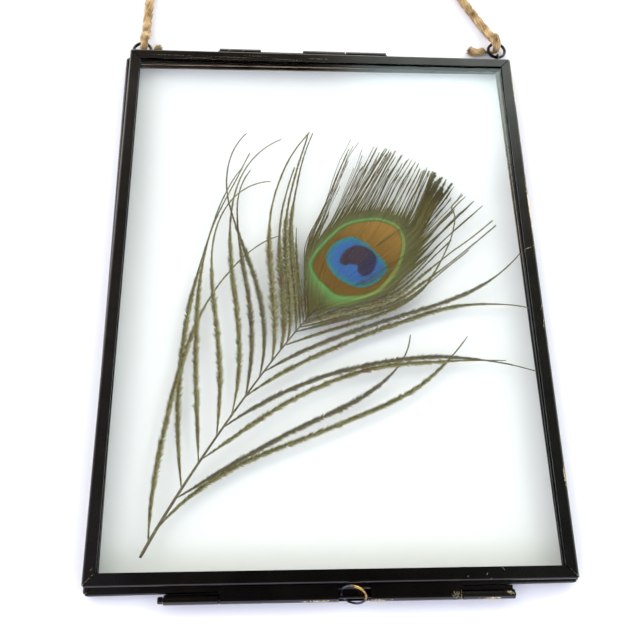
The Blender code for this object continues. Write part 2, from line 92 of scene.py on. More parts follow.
# Barbs of the close vane, from its left edge to its lower right one, in millimetres. Others
# are spread between them, each through this many points.
VANE_STEPS = 90
VANE_BARBS = (
    ((-7.3, -12.0), (-7.3, -2.0), (-6.2, 8.0), (-2.9, 17.8), (3.1, 28.0), (10.4, 43.0), (19.0, 61.5)),
    ((-5.5, -10.2), (-5.2, 0.0), (-2.9, 9.0), (1.8, 18.5), (8.2, 29.5), (16.5, 44.5), (25.2, 60.0)),
    ((-2.5, -6.7), (-0.6, 2.3), (3.6, 11.0), (9.3, 20.0), (15.2, 31.0), (21.8, 44.0), (29.6, 58.6)),
    ((3.0, -0.8), (7.0, 6.5), (12.0, 14.0), (17.3, 22.5), (22.5, 32.0), (28.0, 43.0), (35.0, 55.2)),
    ((8.5, 4.7), (13.5, 10.0), (19.0, 15.5), (25.0, 21.5), (30.2, 29.5), (34.5, 39.0), (40.5, 51.6)),
    ((5.5, 1.6), (12.5, 5.2), (20.0, 10.5), (28.0, 16.8), (34.8, 23.5), (40.0, 31.5), (49.0, 46.0)),
    ((0.5, -3.5), (8.5, -0.6), (17.0, 4.2), (26.0, 10.3), (34.5, 18.0), (42.8, 27.2), (54.4, 41.0)),
    ((-7.4, -12.4), (2.2, -8.7), (12.0, -6.3), (21.5, -2.8), (29.2, 4.3), (39.0, 13.2), (61.1, 34.2)),
)
# The two edges of a dark clump of barbs on the right of the fringe
CLUMP_BARBS = (
    ((7.2, 3.4), (13.2, 7.8), (19.8, 13.0), (26.8, 19.2), (32.9, 26.4), (37.5, 36.0), (43.0, 49.6)),
    ((5.0, 1.2), (12.0, 4.2), (20.0, 9.0), (29.0, 15.0), (35.8, 22.0), (41.2, 31.0), (50.6, 44.2)),
)
# Sparse barbs that lean away from the vane's left edge, above the split
LEAN_BARBS = (
    ((-7.4, -12.1), (-7.5, -2.0), (-6.5, 8.0), (-3.4, 17.8), (2.4, 28.0), (8.2, 43.0), (14.6, 60.5)),
    ((-7.3, -12.0), (-7.3, -2.0), (-6.2, 8.0), (-2.9, 17.8), (3.1, 28.0), (9.9, 43.0), (18.0, 61.0)),
)
# The narrow band of barbs that a split sets apart along the vane's left edge
BAND_BARBS = (
    ((-8.4, -13.4), (-8.7, -4.0), (-8.4, 7.0), (-7.4, 15.5), (-5.0, 24.0), (-1.6, 32.0), (10.2, 62.7)),
    ((-7.5, -12.3), (-7.5, -2.6), (-6.8, 7.8), (-5.3, 14.5), (-3.2, 20.5), (1.0, 30.5), (12.8, 61.2)),
)
# Barbs that run close under the eye and part beyond it, each row led by its barbules' length
UNDER_BARBS = (
    (
        1.4, (-8.7, -13.8), (-3.9, -11.4), (0.9, -9.0), (6.1, -7.4), (12.4, -6.0), (18.4, -4.3),
        (23.4, -1.8), (27.7, 1.3), (32.4, 5.4), (36.5, 9.8), (40.3, 14.2), (44.5, 18.9),
        (61.1, 34.0),
    ),
    (
        2.2, (-9.0, -14.4), (-3.0, -12.2), (1.5, -10.3), (6.0, -8.8), (12.5, -7.3), (19.0, -5.4),
        (24.5, -2.6), (29.0, 0.8), (34.0, 5.6), (40.0, 11.6), (47.6, 18.9),
    ),
    (
        2.2, (-9.8, -15.4), (-3.5, -13.3), (1.0, -11.8), (6.0, -10.3), (13.8, -8.5), (21.3, -6.2),
        (27.0, -3.2), (32.1, 1.1), (38.6, 6.7), (47.6, 14.2), (55.0, 19.8), (64.4, 27.5),
    ),
    (
        2.2, (-10.8, -16.4), (-4.0, -15.0), (1.0, -13.6), (6.0, -12.3), (14.4, -10.2),
        (22.3, -7.6), (28.4, -4.3), (34.3, 0.3), (41.6, 5.9), (48.5, 11.3), (56.8, 18.1),
        (65.4, 25.5),
    ),
    (
        1.7, (-12.7, -18.4), (-7.6, -17.0), (-3.3, -15.8), (5.2, -13.4), (14.0, -11.2),
        (23.0, -8.4), (29.5, -5.0), (35.8, -0.3), (42.2, 4.9), (48.4, 10.1), (53.8, 14.7),
    ),
    (
        2.0, (-15.5, -23.2), (-7.7, -20.3), (0.7, -17.4), (7.6, -15.4), (13.8, -13.3),
        (20.0, -11.0), (26.2, -8.0), (30.8, -5.0), (36.2, -0.3), (41.7, 7.9), (45.8, 15.9),
        (48.2, 22.3), (49.6, 29.2), (48.7, 33.2), (50.9, 35.8), (53.6, 38.6),
    ),
)
# Dark barbs that lie loose across the eye and along the split
STRAY_BARBS = (
    (0.3, (10.0, -0.1), (16.5, 3.6), (22.3, 7.9), (28.6, 11.9), (35.4, 16.4)),
    (0.3, (12.6, 0.3), (19.5, 3.2), (24.9, 6.9), (30.5, 10.9), (36.9, 15.4)),
    (0.22, (18.5, 16.0), (24.1, 20.3), (29.3, 24.0), (33.8, 27.7)),
    (
        0.45, (-8.3, -14.1), (-8.9, -5.6), (-8.8, 6.4), (-8.4, 14.7), (-6.0, 21.8), (-2.1, 29.2),
        (0.8, 38.0), (2.9, 45.1), (5.9, 53.4), (8.1, 58.0), (10.2, 62.8),
    ),
    (
        0.45, (-7.9, -13.4), (-8.2, -1.6), (-7.3, 9.7), (-5.7, 18.9), (-1.7, 29.6), (1.6, 36.6),
        (4.9, 44.3), (7.9, 51.6), (10.8, 57.2), (13.4, 61.4),
    ),
)
# Outlines of the eye's colours, in millimetres
GREEN_RIM = (
    (-6.8, 9.4), (-1.9, 17.1), (6.2, 25.0), (14.4, 27.7), (21.4, 27.8), (27.8, 24.4), (29.7, 17.7),
    (28.1, 10.5), (25.6, 5.6), (19.6, -1.7), (11.3, -5.4), (2.8, -5.2), (-1.8, -1.2), (-5.4, 3.5),
)
BLUE_DISC = (
    (-0.6, 11.1), (2.6, 17.2), (8.8, 20.0), (13.6, 18.2), (18.0, 14.0), (22.4, 7.3), (18.3, 1.6),
    (12.2, -0.8), (6.6, 0.9), (1.9, 4.8),
)
DARK_HEART = (
    (4.5, 10.2), (6.9, 14.4), (11.5, 16.5), (16.6, 14.6), (18.6, 10.4), (16.4, 5.1), (13.2, 3.7),
    (11.3, 5.4), (11.0, 8.0), (8.6, 8.6), (6.0, 8.2),
)

# Where the patina is worn through to brass, from the middle of the front half: x, y, length and
# width in millimetres, and the heading of the length
WORN_PLACES = (
    (78.9, 84.0, 24, 0.7, 91), (79.0, 64.0, 16, 0.6, 90), (78.9, 48.0, 7, 0.6, 90),
    (78.7, 30.0, 26, 0.7, 91), (76.4, 14.8, 4, 0.3, 25), (78.2, -9.0, 3, 0.3, 70),
    (78.1, -16.0, 4, 0.3, 80), (78.3, -69.6, 7, 0.6, 92), (-62.0, 100.2, 18, 0.42, 179),
    (-50.0, 99.2, 16, 0.36, 180), (-38.0, 99.9, 22, 0.42, 179), (-16.0, 99.4, 18, 0.38, 178),
    (-27.0, 100.8, 12, 0.34, 179), (-2.0, 100.2, 10, 0.34, 179), (-76.3, -97.8, 1.4, 0.4, 60),
    (-77.4, -101.0, 5, 0.22, 45), (77.2, -100.9, 5, 0.22, 135), (-76.9, 101.0, 5, 0.25, 135),
    (42.5, -101.6, 1.0, 0.4, 10), (48.7, -101.0, 0.9, 0.4, 70), (54.0, -99.3, 1.6, 0.4, 130),
    (50.1, -102.4, 0.9, 0.35, 20), (38.8, -106.9, 3, 2.0, 20), (40.4, -107.2, 0.5, 3.0, 0),
    (50.5, -108.3, 7, 0.6, 0), (56.2, -106.6, 3.0, 1.3, 150), (14.0, -108.3, 9, 0.5, 0),
    (-5.0, -108.3, 12, 0.4, 0), (-38.5, 105.4, 3, 0.6, 10), (-33.0, 105.2, 2, 0.7, 60),
)

# The twine's three strands: how far each lies from its middle and how thick it is, as shares
# of its radius, and the length in which they turn round it once
STRAND_OFFSET = 0.34
STRAND_RADIUS = 0.66
STRAND_TURN = 0.0135
# The pattern of the fibres: its length along a strand, and how often it changes from the
# strand's middle to its side
FIBRE_LENGTH = 0.009
FIBRES_ACROSS = 3.4
# The lowest that a loose fibre hangs over the table
LOWEST_FIBRE = 0.0002
ROPE_STEPS = 420
TAIL_STEPS = 70
# The twine's route and its two knots, as in the part's source
TWINE_RADIUS = 0.00185
TWINE_ROUTE = (
    (-0.0742, 0.1132, 0.00280), (-0.0742, 0.1160, 0.00205), (-0.0741, 0.1230, 0.00190),
    (-0.0738, 0.1335, 0.00190), (-0.0731, 0.1455, 0.00190), (-0.0711, 0.1580, 0.00190),
    (-0.0665, 0.1700, 0.00190), (-0.0590, 0.1810, 0.00190), (-0.0485, 0.1905, 0.00190),
    (-0.0355, 0.1980, 0.00190), (-0.0205, 0.2025, 0.00190), (-0.0045, 0.2035, 0.00190),
    (0.0110, 0.2005, 0.00190), (0.0250, 0.1935, 0.00190), (0.0370, 0.1830, 0.00190),
    (0.0462, 0.1705, 0.00190), (0.0535, 0.1575, 0.00190), (0.0593, 0.1460, 0.00190),
    (0.0637, 0.1370, 0.00190), (0.0683, 0.1284, 0.00190), (0.0722, 0.1215, 0.00200),
    (0.0738, 0.1178, 0.00290),
)
# Over a ring's wire, down into the ring, under the wire and out to a cut end, with the radius
LEFT_KNOT = (
    (-0.0742, 0.1125, 0.00345, 0.00180), (-0.0742, 0.1106, 0.00430, 0.00165),
    (-0.0743, 0.1089, 0.00380, 0.00150), (-0.0746, 0.1074, 0.00270, 0.00140),
    (-0.0748, 0.1066, 0.00150, 0.00110), (-0.0741, 0.1066, 0.00075, 0.00055),
    (-0.0718, 0.1071, 0.00035, 0.00030), (-0.0706, 0.1075, 0.00060, 0.00045),
    (-0.0693, 0.1079, 0.00150, 0.00130), (-0.0687, 0.1081, 0.00155, 0.00140),
    (-0.0681, 0.1082, 0.00150, 0.00120),
)
RIGHT_KNOT = (
    (0.0741, 0.1169, 0.00370, 0.00185), (0.0745, 0.1153, 0.00475, 0.00205),
    (0.0748, 0.1135, 0.00440, 0.00190), (0.0752, 0.1122, 0.00330, 0.00165),
    (0.0752, 0.1117, 0.00195, 0.00135), (0.0745, 0.1115, 0.00085, 0.00065),
    (0.0721, 0.1116, 0.00035, 0.00030), (0.0708, 0.1117, 0.00060, 0.00045),
    (0.0695, 0.1115, 0.00150, 0.00135), (0.0681, 0.1106, 0.00160, 0.00150),
    (0.0664, 0.1103, 0.00165, 0.00155), (0.0648, 0.1110, 0.00170, 0.00160),
    (0.0637, 0.1116, 0.00170, 0.00150),
)


def linear(code):
    """The linear colour of an sRGB hex code."""
    shares = [int(code[i : i + 2], 16) / 255 for i in (1, 3, 5)]
    return (*[s / 12.92 if s <= 0.04045 else ((s + 0.055) / 1.055) ** 2.4 for s in shares], 1.0)


def socket(sockets, key):
    """A node's socket in use, by name or by place."""
    if isinstance(key, int):
        return sockets[key]
    named = [s for s in sockets if key is None or s.name == key]
    return ([s for s in named if s.enabled] or named)[0]


def add(tree, kind, inputs=None, **settings):
    """A node with its settings, its ramp's stops, and its inputs given as values or sources.

    A source is a node, or a pair of a node and the name of one of its outputs."""
    node = tree.nodes.new(kind)
    stops = settings.pop("stops", None)
    for name, value in settings.items():
        setattr(node, name, value)
    if stops:
        elements = node.color_ramp.elements
        elements[0].position, elements[1].position = stops[0][0], stops[-1][0]
        elements[0].color, elements[1].color = linear(stops[0][1]), linear(stops[-1][1])
        for place, code in stops[1:-1]:
            elements.new(place).color = linear(code)
    for key, value in (inputs or {}).items():
        target = socket(node.inputs, key)
        if isinstance(value, bpy.types.Node):
            value = (value, None)
        if isinstance(value, tuple) and isinstance(value[0], bpy.types.Node):
            tree.links.new(socket(value[0].outputs, value[1]), target)
        else:
            target.default_value = value
    return node


def new_material(name):
    """A material, its tree, and the object's own coordinates, which its patterns are laid on."""
    material = bpy.data.materials.new(name)
    material.use_nodes = True
    tree = material.node_tree
    tree.nodes.clear()
    return material, tree, (add(tree, "ShaderNodeTexCoord"), "Object")


def finish_material(material, shader):
    """Leads the shader to the material's output, and gives the material back."""
    add(material.node_tree, "ShaderNodeOutputMaterial", {"Surface": shader})
    return material


# Materials


def blackened_brass():
    """Sheet brass under a black patina, rubbed smooth and waxed: near black with a clear gloss
    like dark metal, and worn through to dull brass in the marked places."""
    material, tree, spots = new_material("blackened_brass")
    # Slow mottling, about 12 mm across, and the grain of the sheet, about 0.5 mm
    mottle = add(tree, "ShaderNodeTexNoise", {"Vector": spots, "Scale": 80.0, "Detail": 3.0})
    grain = add(tree, "ShaderNodeTexNoise", {"Vector": spots, "Scale": 2000.0, "Detail": 3.0})
    patina = add(
        tree, "ShaderNodeValToRGB", {"Fac": mottle}, stops=((0.3, "#1f1b18"), (0.7, "#2d2824"))
    )
    # Seen through the front pane, the back rails' lips are a pale brown in streaks about 17 mm long
    # and 0.4 mm wide: partly their rubbed bare brass and partly painted reflection in the glass
    sight = add(
        tree,
        "ShaderNodeMapping",
        {"Vector": spots, "Location": FRONT_MIDDLE, "Scale": (*FRONT_OPENING, 1.0)},
        vector_type="TEXTURE",
    )
    sight = add(tree, "ShaderNodeVectorMath", {0: sight}, operation="ABSOLUTE")
    sides = add(tree, "ShaderNodeSeparateXYZ", {0: sight})
    edge = add(tree, "ShaderNodeMath", {0: (sides, "X"), 1: (sides, "Y")}, operation="MAXIMUM")
    lips_painted_reflection = add(tree, "ShaderNodeMapRange", {"Value": edge, "From Min": 1.0, "From Max": 0.996})
    streaks = add(tree, "ShaderNodeMapping", {"Vector": spots, "Scale": (60.0, 2400.0, 1.0)})
    streaks = add(tree, "ShaderNodeTexNoise", {"Vector": streaks, "Scale": 1.0, "Detail": 2.0})
    bare = add(
        tree, "ShaderNodeValToRGB", {"Fac": streaks}, stops=((0.35, "#8a6f58"), (0.65, "#d8c6ac"))
    )
    # How far out of the nearest worn place a point is: 0 in its middle and 1 at its edge
    nearest = 100.0
    for x, y, length, width, turn in WORN_PLACES:
        mapped = add(
            tree,
            "ShaderNodeMapping",
            {
                "Vector": spots,
                "Location": Vector((x, y, 0)) * MM + FRONT_MIDDLE,
                "Rotation": (0, 0, math.radians(turn)),
                "Scale": (length * MM / 2, width * MM / 2, 1.0),
            },
            vector_type="TEXTURE",
        )
        away = (add(tree, "ShaderNodeVectorMath", {0: mapped}, operation="LENGTH"), "Value")
        nearest = add(tree, "ShaderNodeMath", {0: nearest, 1: away}, operation="MINIMUM")
    inside = add(tree, "ShaderNodeMath", {0: 1.0, 1: nearest}, operation="SUBTRACT")
    scratch = add(tree, "ShaderNodeMath", {0: grain, 1: 3.2, 2: inside}, operation="MULTIPLY_ADD")
    rub = add(tree, "ShaderNodeMapRange", {"Value": scratch, "From Min": 1.75, "From Max": 2.1})
    # On the top rail the brass only glints through
    glint = add(
        tree,
        "ShaderNodeMapRange",
        {"Value": (sides, "Y"), "From Min": 0.985, "From Max": 1.0, "To Min": 1.0, "To Max": 0.35},
    )
    upper = add(tree, "ShaderNodeSeparateXYZ", {0: spots})
    upper = add(tree, "ShaderNodeMath", {0: (upper, "Y"), 1: 0.0}, operation="GREATER_THAN")
    level = add(tree, "ShaderNodeMapRange", {"Value": upper, "To Min": 1.0, "To Max": glint})
    rub = add(tree, "ShaderNodeMath", {0: rub, 1: level}, operation="MULTIPLY")
    brass = add(
        tree, "ShaderNodeValToRGB", {"Fac": grain}, stops=((0.4, "#8b7750"), (0.65, "#cfbd94"))
    )
    # Over the patina go the lips' pale brown with its painted reflection, then the worn brass
    colour = patina
    for share, over in ((lips_painted_reflection, bare), (rub, brass)):
        colour = add(
            tree, "ShaderNodeMix", {"Factor": share, "A": colour, "B": over}, data_type="RGBA"
        )
    gloss = add(
        tree,
        "ShaderNodeMapRange",
        {"Value": grain, "From Min": 0.3, "From Max": 0.7, "To Min": 0.26, "To Max": 0.36},
    )
    dents = add(tree, "ShaderNodeBump", {"Height": mottle, "Strength": 0.12, "Distance": 0.0003})
    shader = add(
        tree,
        "ShaderNodeBsdfPrincipled",
        {
            "Base Color": colour,
            "Roughness": gloss,
            "Metallic": 1.0,
            "Normal": dents,
            "Coat Weight": 0.5,
            "Coat Roughness": 0.12,
        },
    )
    return finish_material(material, shader)


def aged_brass():
    """Drawn brass wire gone dull: warm brown-gold, darker in blotches about 1.4 mm across."""
    material, tree, spots = new_material("aged_brass")
    blotch = add(tree, "ShaderNodeTexNoise", {"Vector": spots, "Scale": 700.0, "Detail": 4.0})
    colour = add(
        tree, "ShaderNodeValToRGB", {"Fac": blotch}, stops=((0.35, "#6b5030"), (0.65, "#d0ab66"))
    )
    # The closure ring's left half and its foot are blackened like the frame
    place = add(tree, "ShaderNodeSeparateXYZ", {0: spots})
    right, high = (
        add(tree, "ShaderNodeMapRange", {"Value": (place, key), "From Min": start, "From Max": end})
        for key, start, end in (("X", 0.0050, 0.0068), ("Y", -0.1114, -0.1106))
    )
    bare = add(tree, "ShaderNodeMath", {0: right, 1: high}, operation="MULTIPLY")
    mixed = add(
        tree,
        "ShaderNodeMix",
        {"Factor": bare, "A": linear("#43474e"), "B": colour},
        data_type="RGBA",
    )
    shader = add(
        tree, "ShaderNodeBsdfPrincipled", {"Base Color": mixed, "Metallic": 1.0, "Roughness": 0.28}
    )
    return finish_material(material, shader)


def picture_glass():
    """Thin drawn sheet glass, clear and smooth, with the faint ripple of its drawing, about
    33 mm across."""
    material, tree, spots = new_material("picture_glass")
    ripple = add(tree, "ShaderNodeTexNoise", {"Vector": spots, "Scale": 30.0})
    wave = add(tree, "ShaderNodeBump", {"Height": ripple, "Strength": 0.007, "Distance": 0.0002})
    shader = add(
        tree,
        "ShaderNodeBsdfPrincipled",
        {
            "Base Color": linear("#fbfdf9"),
            "Roughness": 0.0,
            "IOR": 1.5,
            "Transmission Weight": 1.0,
            "Normal": wave,
        },
    )
    return finish_material(material, shader)


def jute():
    """Spun jute: dull pale straw, darker between the fibres and in patches about 4 mm across,
    with a little fuzz to catch light."""
    material, tree, spots = new_material("jute")
    # Fibres that run along each strand, drawn about 0.4 mm thick so that they show
    lay = add(tree, "ShaderNodeAttribute", attribute_name="lay")
    fibre = add(tree, "ShaderNodeTexNoise", {"Vector": (lay, "Vector"), "Scale": 1.0, "Detail": 3.0})
    patch = add(tree, "ShaderNodeTexNoise", {"Vector": spots, "Scale": 260.0})
    both = add(tree, "ShaderNodeMath", {0: fibre, 1: patch}, operation="MULTIPLY")
    colour = add(
        tree,
        "ShaderNodeValToRGB",
        {"Fac": both},
        stops=((0.12, "#54431f"), (0.22, "#94794c"), (0.34, "#c2a577")),
    )
    rough = add(tree, "ShaderNodeBump", {"Height": fibre, "Strength": 0.4, "Distance": 0.0001})
    shader = add(
        tree,
        "ShaderNodeBsdfPrincipled",
        {
            "Base Color": colour,
            "Roughness": 0.85,
            "Sheen Weight": 0.15,
            "Specular IOR Level": 0.2,
            "Normal": rough,
        },
    )
    return finish_material(material, shader)


def loose_barb():
    """Keratin barbs: dark stems, and barbules that go from dull brown to olive gold at their
    tips, with a soft satin shine."""
    material, tree, spots = new_material("loose_barb")
    tone, outward, flank = (
        (add(tree, "ShaderNodeAttribute", attribute_name=name), "Fac")
        for name in ("tone", "outward", "flank")
    )
    # Flecks about 0.5 mm across, paler tips, one darker flank, and some barbs paler than others
    fleck = add(tree, "ShaderNodeTexNoise", {"Vector": spots, "Scale": 1900.0, "Detail": 2.0})
    pale = -0.57
    for source, weight in ((outward, 0.3), (fleck, 2.2), (flank, -0.14), (tone, 0.25)):
        pale = add(tree, "ShaderNodeMath", {0: source, 1: weight, 2: pale}, operation="MULTIPLY_ADD")
    colour = add(
        tree,
        "ShaderNodeValToRGB",
        {"Fac": pale},
        stops=((0.15, "#24210f"), (0.5, "#3f3d20"), (0.8, "#625e36"), (1.0, "#857f56")),
    )
    # Patches several millimetres across turn russet, and one barb in four greyer
    patch = add(tree, "ShaderNodeTexNoise", {"Vector": spots, "Scale": 150.0, "Detail": 1.0})
    russet, grey = (
        add(
            tree,
            "ShaderNodeMapRange",
            {"Value": source, "From Min": start, "From Max": end, "To Max": most},
        )
        for source, start, end, most in ((patch, 0.58, 0.68, 0.5), (tone, 0.3, 0.2, 0.4))
    )
    for share, code in ((russet, "#57391f"), (grey, "#554e46")):
        colour = add(
            tree,
            "ShaderNodeMix",
            {"Factor": share, "A": colour, "B": linear(code)},
            data_type="RGBA",
        )
    shader = add(
        tree,
        "ShaderNodeBsdfPrincipled",
        {"Base Color": colour, "Roughness": 0.55, "Specular IOR Level": 0.3},
    )
    return finish_material(material, shader)


def shaft_keratin():
    """The bare shaft: smooth keratin, a little glossy, olive-brown in grains about 1.3 mm
    across."""
    material, tree, spots = new_material("shaft_keratin")
    grain = add(tree, "ShaderNodeTexNoise", {"Vector": spots, "Scale": 800.0, "Detail": 4.0})
    colour = add(
        tree, "ShaderNodeValToRGB", {"Fac": grain}, stops=((0.3, "#3b3623"), (0.7, "#6d6448"))
    )
    shader = add(tree, "ShaderNodeBsdfPrincipled", {"Base Color": colour, "Roughness": 0.4})
    return finish_material(material, shader)


def eye_vane():
    """Close barbules whose fine structure, not a dye, gives the eye its colours: a green rim
    round bronze, a blue disc with a turquoise edge, and a dark violet heart."""
    material, tree, spots = new_material("eye_vane")
    rim, disc, heart, wedge, tone, north, east, thick_barb_shade = (
        (add(tree, "ShaderNodeAttribute", attribute_name=name), "Fac")
        for name in ("rim", "disc", "heart", "wedge", "tone", "north", "east", "thick_barb_shade")
    )
    # Outside the rim: olive that browns with distance, in millimetres, and the green wedge
    distance = add(tree, "ShaderNodeMapRange", {"Value": rim, "From Max": 12.0})
    olive = add(
        tree,
        "ShaderNodeValToRGB",
        {"Fac": distance},
        stops=((0.0, "#5b643a"), (0.1, "#585832"), (0.4, "#555028"), (1.0, "#51481c")),
    )
    green = add(
        tree,
        "ShaderNodeValToRGB",
        {"Fac": wedge},
        stops=((0.0, "#62703e"), (0.5, "#5f7d41"), (1.0, "#5f8d45")),
    )
    outside = add(
        tree, "ShaderNodeMix", {"Factor": wedge, "A": olive, "B": green}, data_type="RGBA"
    )
    at_rim = add(tree, "ShaderNodeMapRange", {"Value": rim, "From Min": -0.1, "From Max": 0.25})
    # Across the rim and into the bronze
    across = add(tree, "ShaderNodeMapRange", {"Value": rim, "From Min": -3.0, "From Max": 1.0})
    inner = add(
        tree,
        "ShaderNodeValToRGB",
        {"Fac": across},
        stops=(
            (0.0, "#6b4e17"),
            (0.36, "#64501a"),
            (0.46, "#525a28"),
            (0.56, "#5a8040"),
            (0.70, "#659051"),
            (0.80, "#566f38"),
        ),
    )
    # The bronze is paler to the upper right
    paler = add(tree, "ShaderNodeMapRange", {"Value": across, "From Min": 0.42, "From Max": 0.34})
    paler = add(tree, "ShaderNodeMath", {0: north, 1: paler}, operation="MULTIPLY")
    # The lower right of the rim is a yellower green
    yellow = add(
        tree, "ShaderNodeValToRGB", {"Fac": across}, stops=((0.40, "#000000"), (0.52, "#ffffff"))
    )
    yellow = add(tree, "ShaderNodeMath", {0: east, 1: yellow}, operation="MULTIPLY")
    # The disc: turquoise at its edge, then blue
    in_disc = add(tree, "ShaderNodeMapRange", {"Value": disc, "From Min": 0.35, "From Max": -0.2})
    depth = add(tree, "ShaderNodeMapRange", {"Value": disc, "From Max": -3.0})
    blue = add(
        tree,
        "ShaderNodeValToRGB",
        {"Fac": depth},
        stops=((0.0, "#3a6c61"), (0.2, "#347475"), (0.5, "#336787"), (1.0, "#355d94")),
    )
    in_heart = add(tree, "ShaderNodeMapRange", {"Value": heart, "From Min": 0.45, "From Max": -0.45})
    violet = add(
        tree, "ShaderNodeValToRGB", {"Fac": east}, stops=((0.0, "#3d3038"), (0.4, "#2f2b47"))
    )
    # A dark golden smudge of painted shade where the barbs of the fringe lie thickest
    shade_share = add(tree, "ShaderNodeMath", {0: thick_barb_shade, 1: 0.7}, operation="MULTIPLY")
    # Each colour lies over the ones before it
    colour = inner
    for share, over in (
        (paler, linear("#8d6b2d")),
        (yellow, linear("#7c8340")),
        (at_rim, outside),
        (in_disc, blue),
        (in_heart, violet),
        (shade_share, linear("#2d2408")),
    ):
        colour = add(
            tree, "ShaderNodeMix", {"Factor": share, "A": colour, "B": over}, data_type="RGBA"
        )
    # Each barb is a shade lighter or darker than its neighbours, with flecks about 0.7 mm
    # across, and both show more outside the eye
    fleck = add(tree, "ShaderNodeTexNoise", {"Vector": spots, "Scale": 1400.0, "Detail": 3.0})
    both = add(tree, "ShaderNodeMath", {0: tone, 1: fleck}, operation="ADD")
    both = add(tree, "ShaderNodeMath", {0: both, 1: -1.0}, operation="ADD")
    contrast = add(
        tree,
        "ShaderNodeMapRange",
        {"Value": rim, "From Min": -2.0, "From Max": 6.0, "To Min": 0.12, "To Max": 0.55},
    )
    shade = add(tree, "ShaderNodeMath", {0: both, 1: contrast, 2: 1.0}, operation="MULTIPLY_ADD")
    colour = add(tree, "ShaderNodeVectorMath", {0: colour, "Scale": shade}, operation="SCALE")
    shader = add(
        tree,
        "ShaderNodeBsdfPrincipled",
        {"Base Color": colour, "Roughness": 0.5, "Specular IOR Level": 0.3},
    )
    return finish_material(material, shader)


def white_table():
    """A sheet of matt white board, with a tooth about 1 mm across, lit until it nearly burns
    out."""
    material, tree, spots = new_material("white_table")
    tooth = add(tree, "ShaderNodeTexNoise", {"Vector": spots, "Scale": 900.0})
    bump = add(tree, "ShaderNodeBump", {"Height": tooth, "Strength": 0.05, "Distance": 0.0002})
    shader = add(
        tree,
        "ShaderNodeBsdfPrincipled",
        {"Base Color": linear("#ebebec"), "Roughness": 0.9, "Specular IOR Level": 0.1, "Normal": bump},
    )
    return finish_material(material, shader)


BLACKENED = blackened_brass()
BRASS = aged_brass()
GLASS = picture_glass()
JUTE = jute()
BARB = loose_barb()
KERATIN = shaft_keratin()
VANE = eye_vane()


# Paths and meshes


def place_object(name, data):
    """A new object in the scene, at the origin."""
    made = bpy.data.objects.new(name, data)
    bpy.context.scene.collection.objects.link(made)
    return made


def skin(form, rings):
    """Closes a mesh in the making over its rings of corners, from end to end."""
    sides = len(rings[0])
    for first, second in zip(rings, rings[1:]):
        for k in range(sides):
            j = (k + 1) % sides
            form.faces.new((first[k], first[j], second[j], second[k]))
    form.faces.new(rings[0][::-1])
    form.faces.new(rings[-1])


def smooth_piece(name, form, material):
    """The piece that a mesh in the making gives, with its faces turned outwards."""
    bmesh.ops.recalc_face_normals(form, faces=form.faces)
    mesh = bpy.data.meshes.new(name)
    form.to_mesh(mesh)
    form.free()
    mesh.shade_smooth()
    mesh.materials.append(material)
    return place_object(name, mesh)


def unit(vectors):
    """Vectors made one long."""
    return vectors / np.linalg.norm(vectors, axis=-1, keepdims=True)


def spread(values, share):
    """A value read from a smooth curve through evenly placed ones, at a share of its run."""
    values = np.asarray(values, float)
    run = min(max(share, 0.0), 1.0) * (len(values) - 1)
    k = min(int(run), len(values) - 2)
    t = run - k
    b, c = values[k], values[k + 1]
    a = values[k - 1] if k > 0 else 2 * b - c
    d = values[k + 2] if k + 2 < len(values) else 2 * c - b
    ahead = (c - a) * t + (2 * a - 5 * b + 4 * c - d) * t**2 + (3 * b - a - 3 * c + d) * t**3
    return b + ahead / 2


def even_path(points, count):
    """Points evenly along a smooth curve through the given ones."""
    dense = np.array([spread(points, i / (30 * len(points))) for i in range(30 * len(points) + 1)])
    steps = np.linalg.norm(np.diff(dense, axis=0), axis=1)
    run = np.concatenate(([0], np.cumsum(steps)))
    wanted = np.linspace(0, run[-1], count)
    return np.stack([np.interp(wanted, run, dense[:, k]) for k in range(dense.shape[1])], axis=1)


def walk(start, length, headings, steps):
    """Points along a path whose heading is a cubic through four even stations."""
    fine = 6
    turn = np.polyfit(np.linspace(0, 1, 4), np.radians(headings), 3)
    middle = (np.arange(steps * fine) + 0.5) / (steps * fine)
    angle = np.polyval(turn, middle)
    moves = np.stack((np.cos(angle), np.sin(angle)), axis=1) * length / (steps * fine)
    points = np.concatenate((np.zeros((1, 2)), np.cumsum(moves, axis=0)))[::fine]
    return points + np.array(start)


def wobble(points, size, reach, seed):
    """Moves a path gently to and fro sideways, more towards its tip."""
    shares = np.linspace(0, 1, len(points))
    away = np.gradient(points, axis=0)
    away = unit(np.stack((-away[:, 1], away[:, 0]), axis=1))
    sway = [noise.noise(Vector((s * reach, seed * 7.3, 0))) * s for s in shares]
    return points + away * np.array(sway)[:, None] * size


SHAFT = walk(QUILL_END, SHAFT_LENGTH, SHAFT_HEADINGS, SHAFT_STEPS)


# Feather


def barb_curve(name, barbs):
    """One curve object with a line for each barb. A point's radius is its barbules' length."""
    data = bpy.data.curves.new(name, "CURVE")
    data.dimensions = "3D"
    for points, lengths in barbs:
        line = data.splines.new("POLY")
        line.points.add(len(points) - 1)
        for target, point, length in zip(line.points, points, lengths):
            target.co = (*(Vector(point) + FRONT_MIDDLE), 1)
            target.radius = length
    return place_object(name, data)


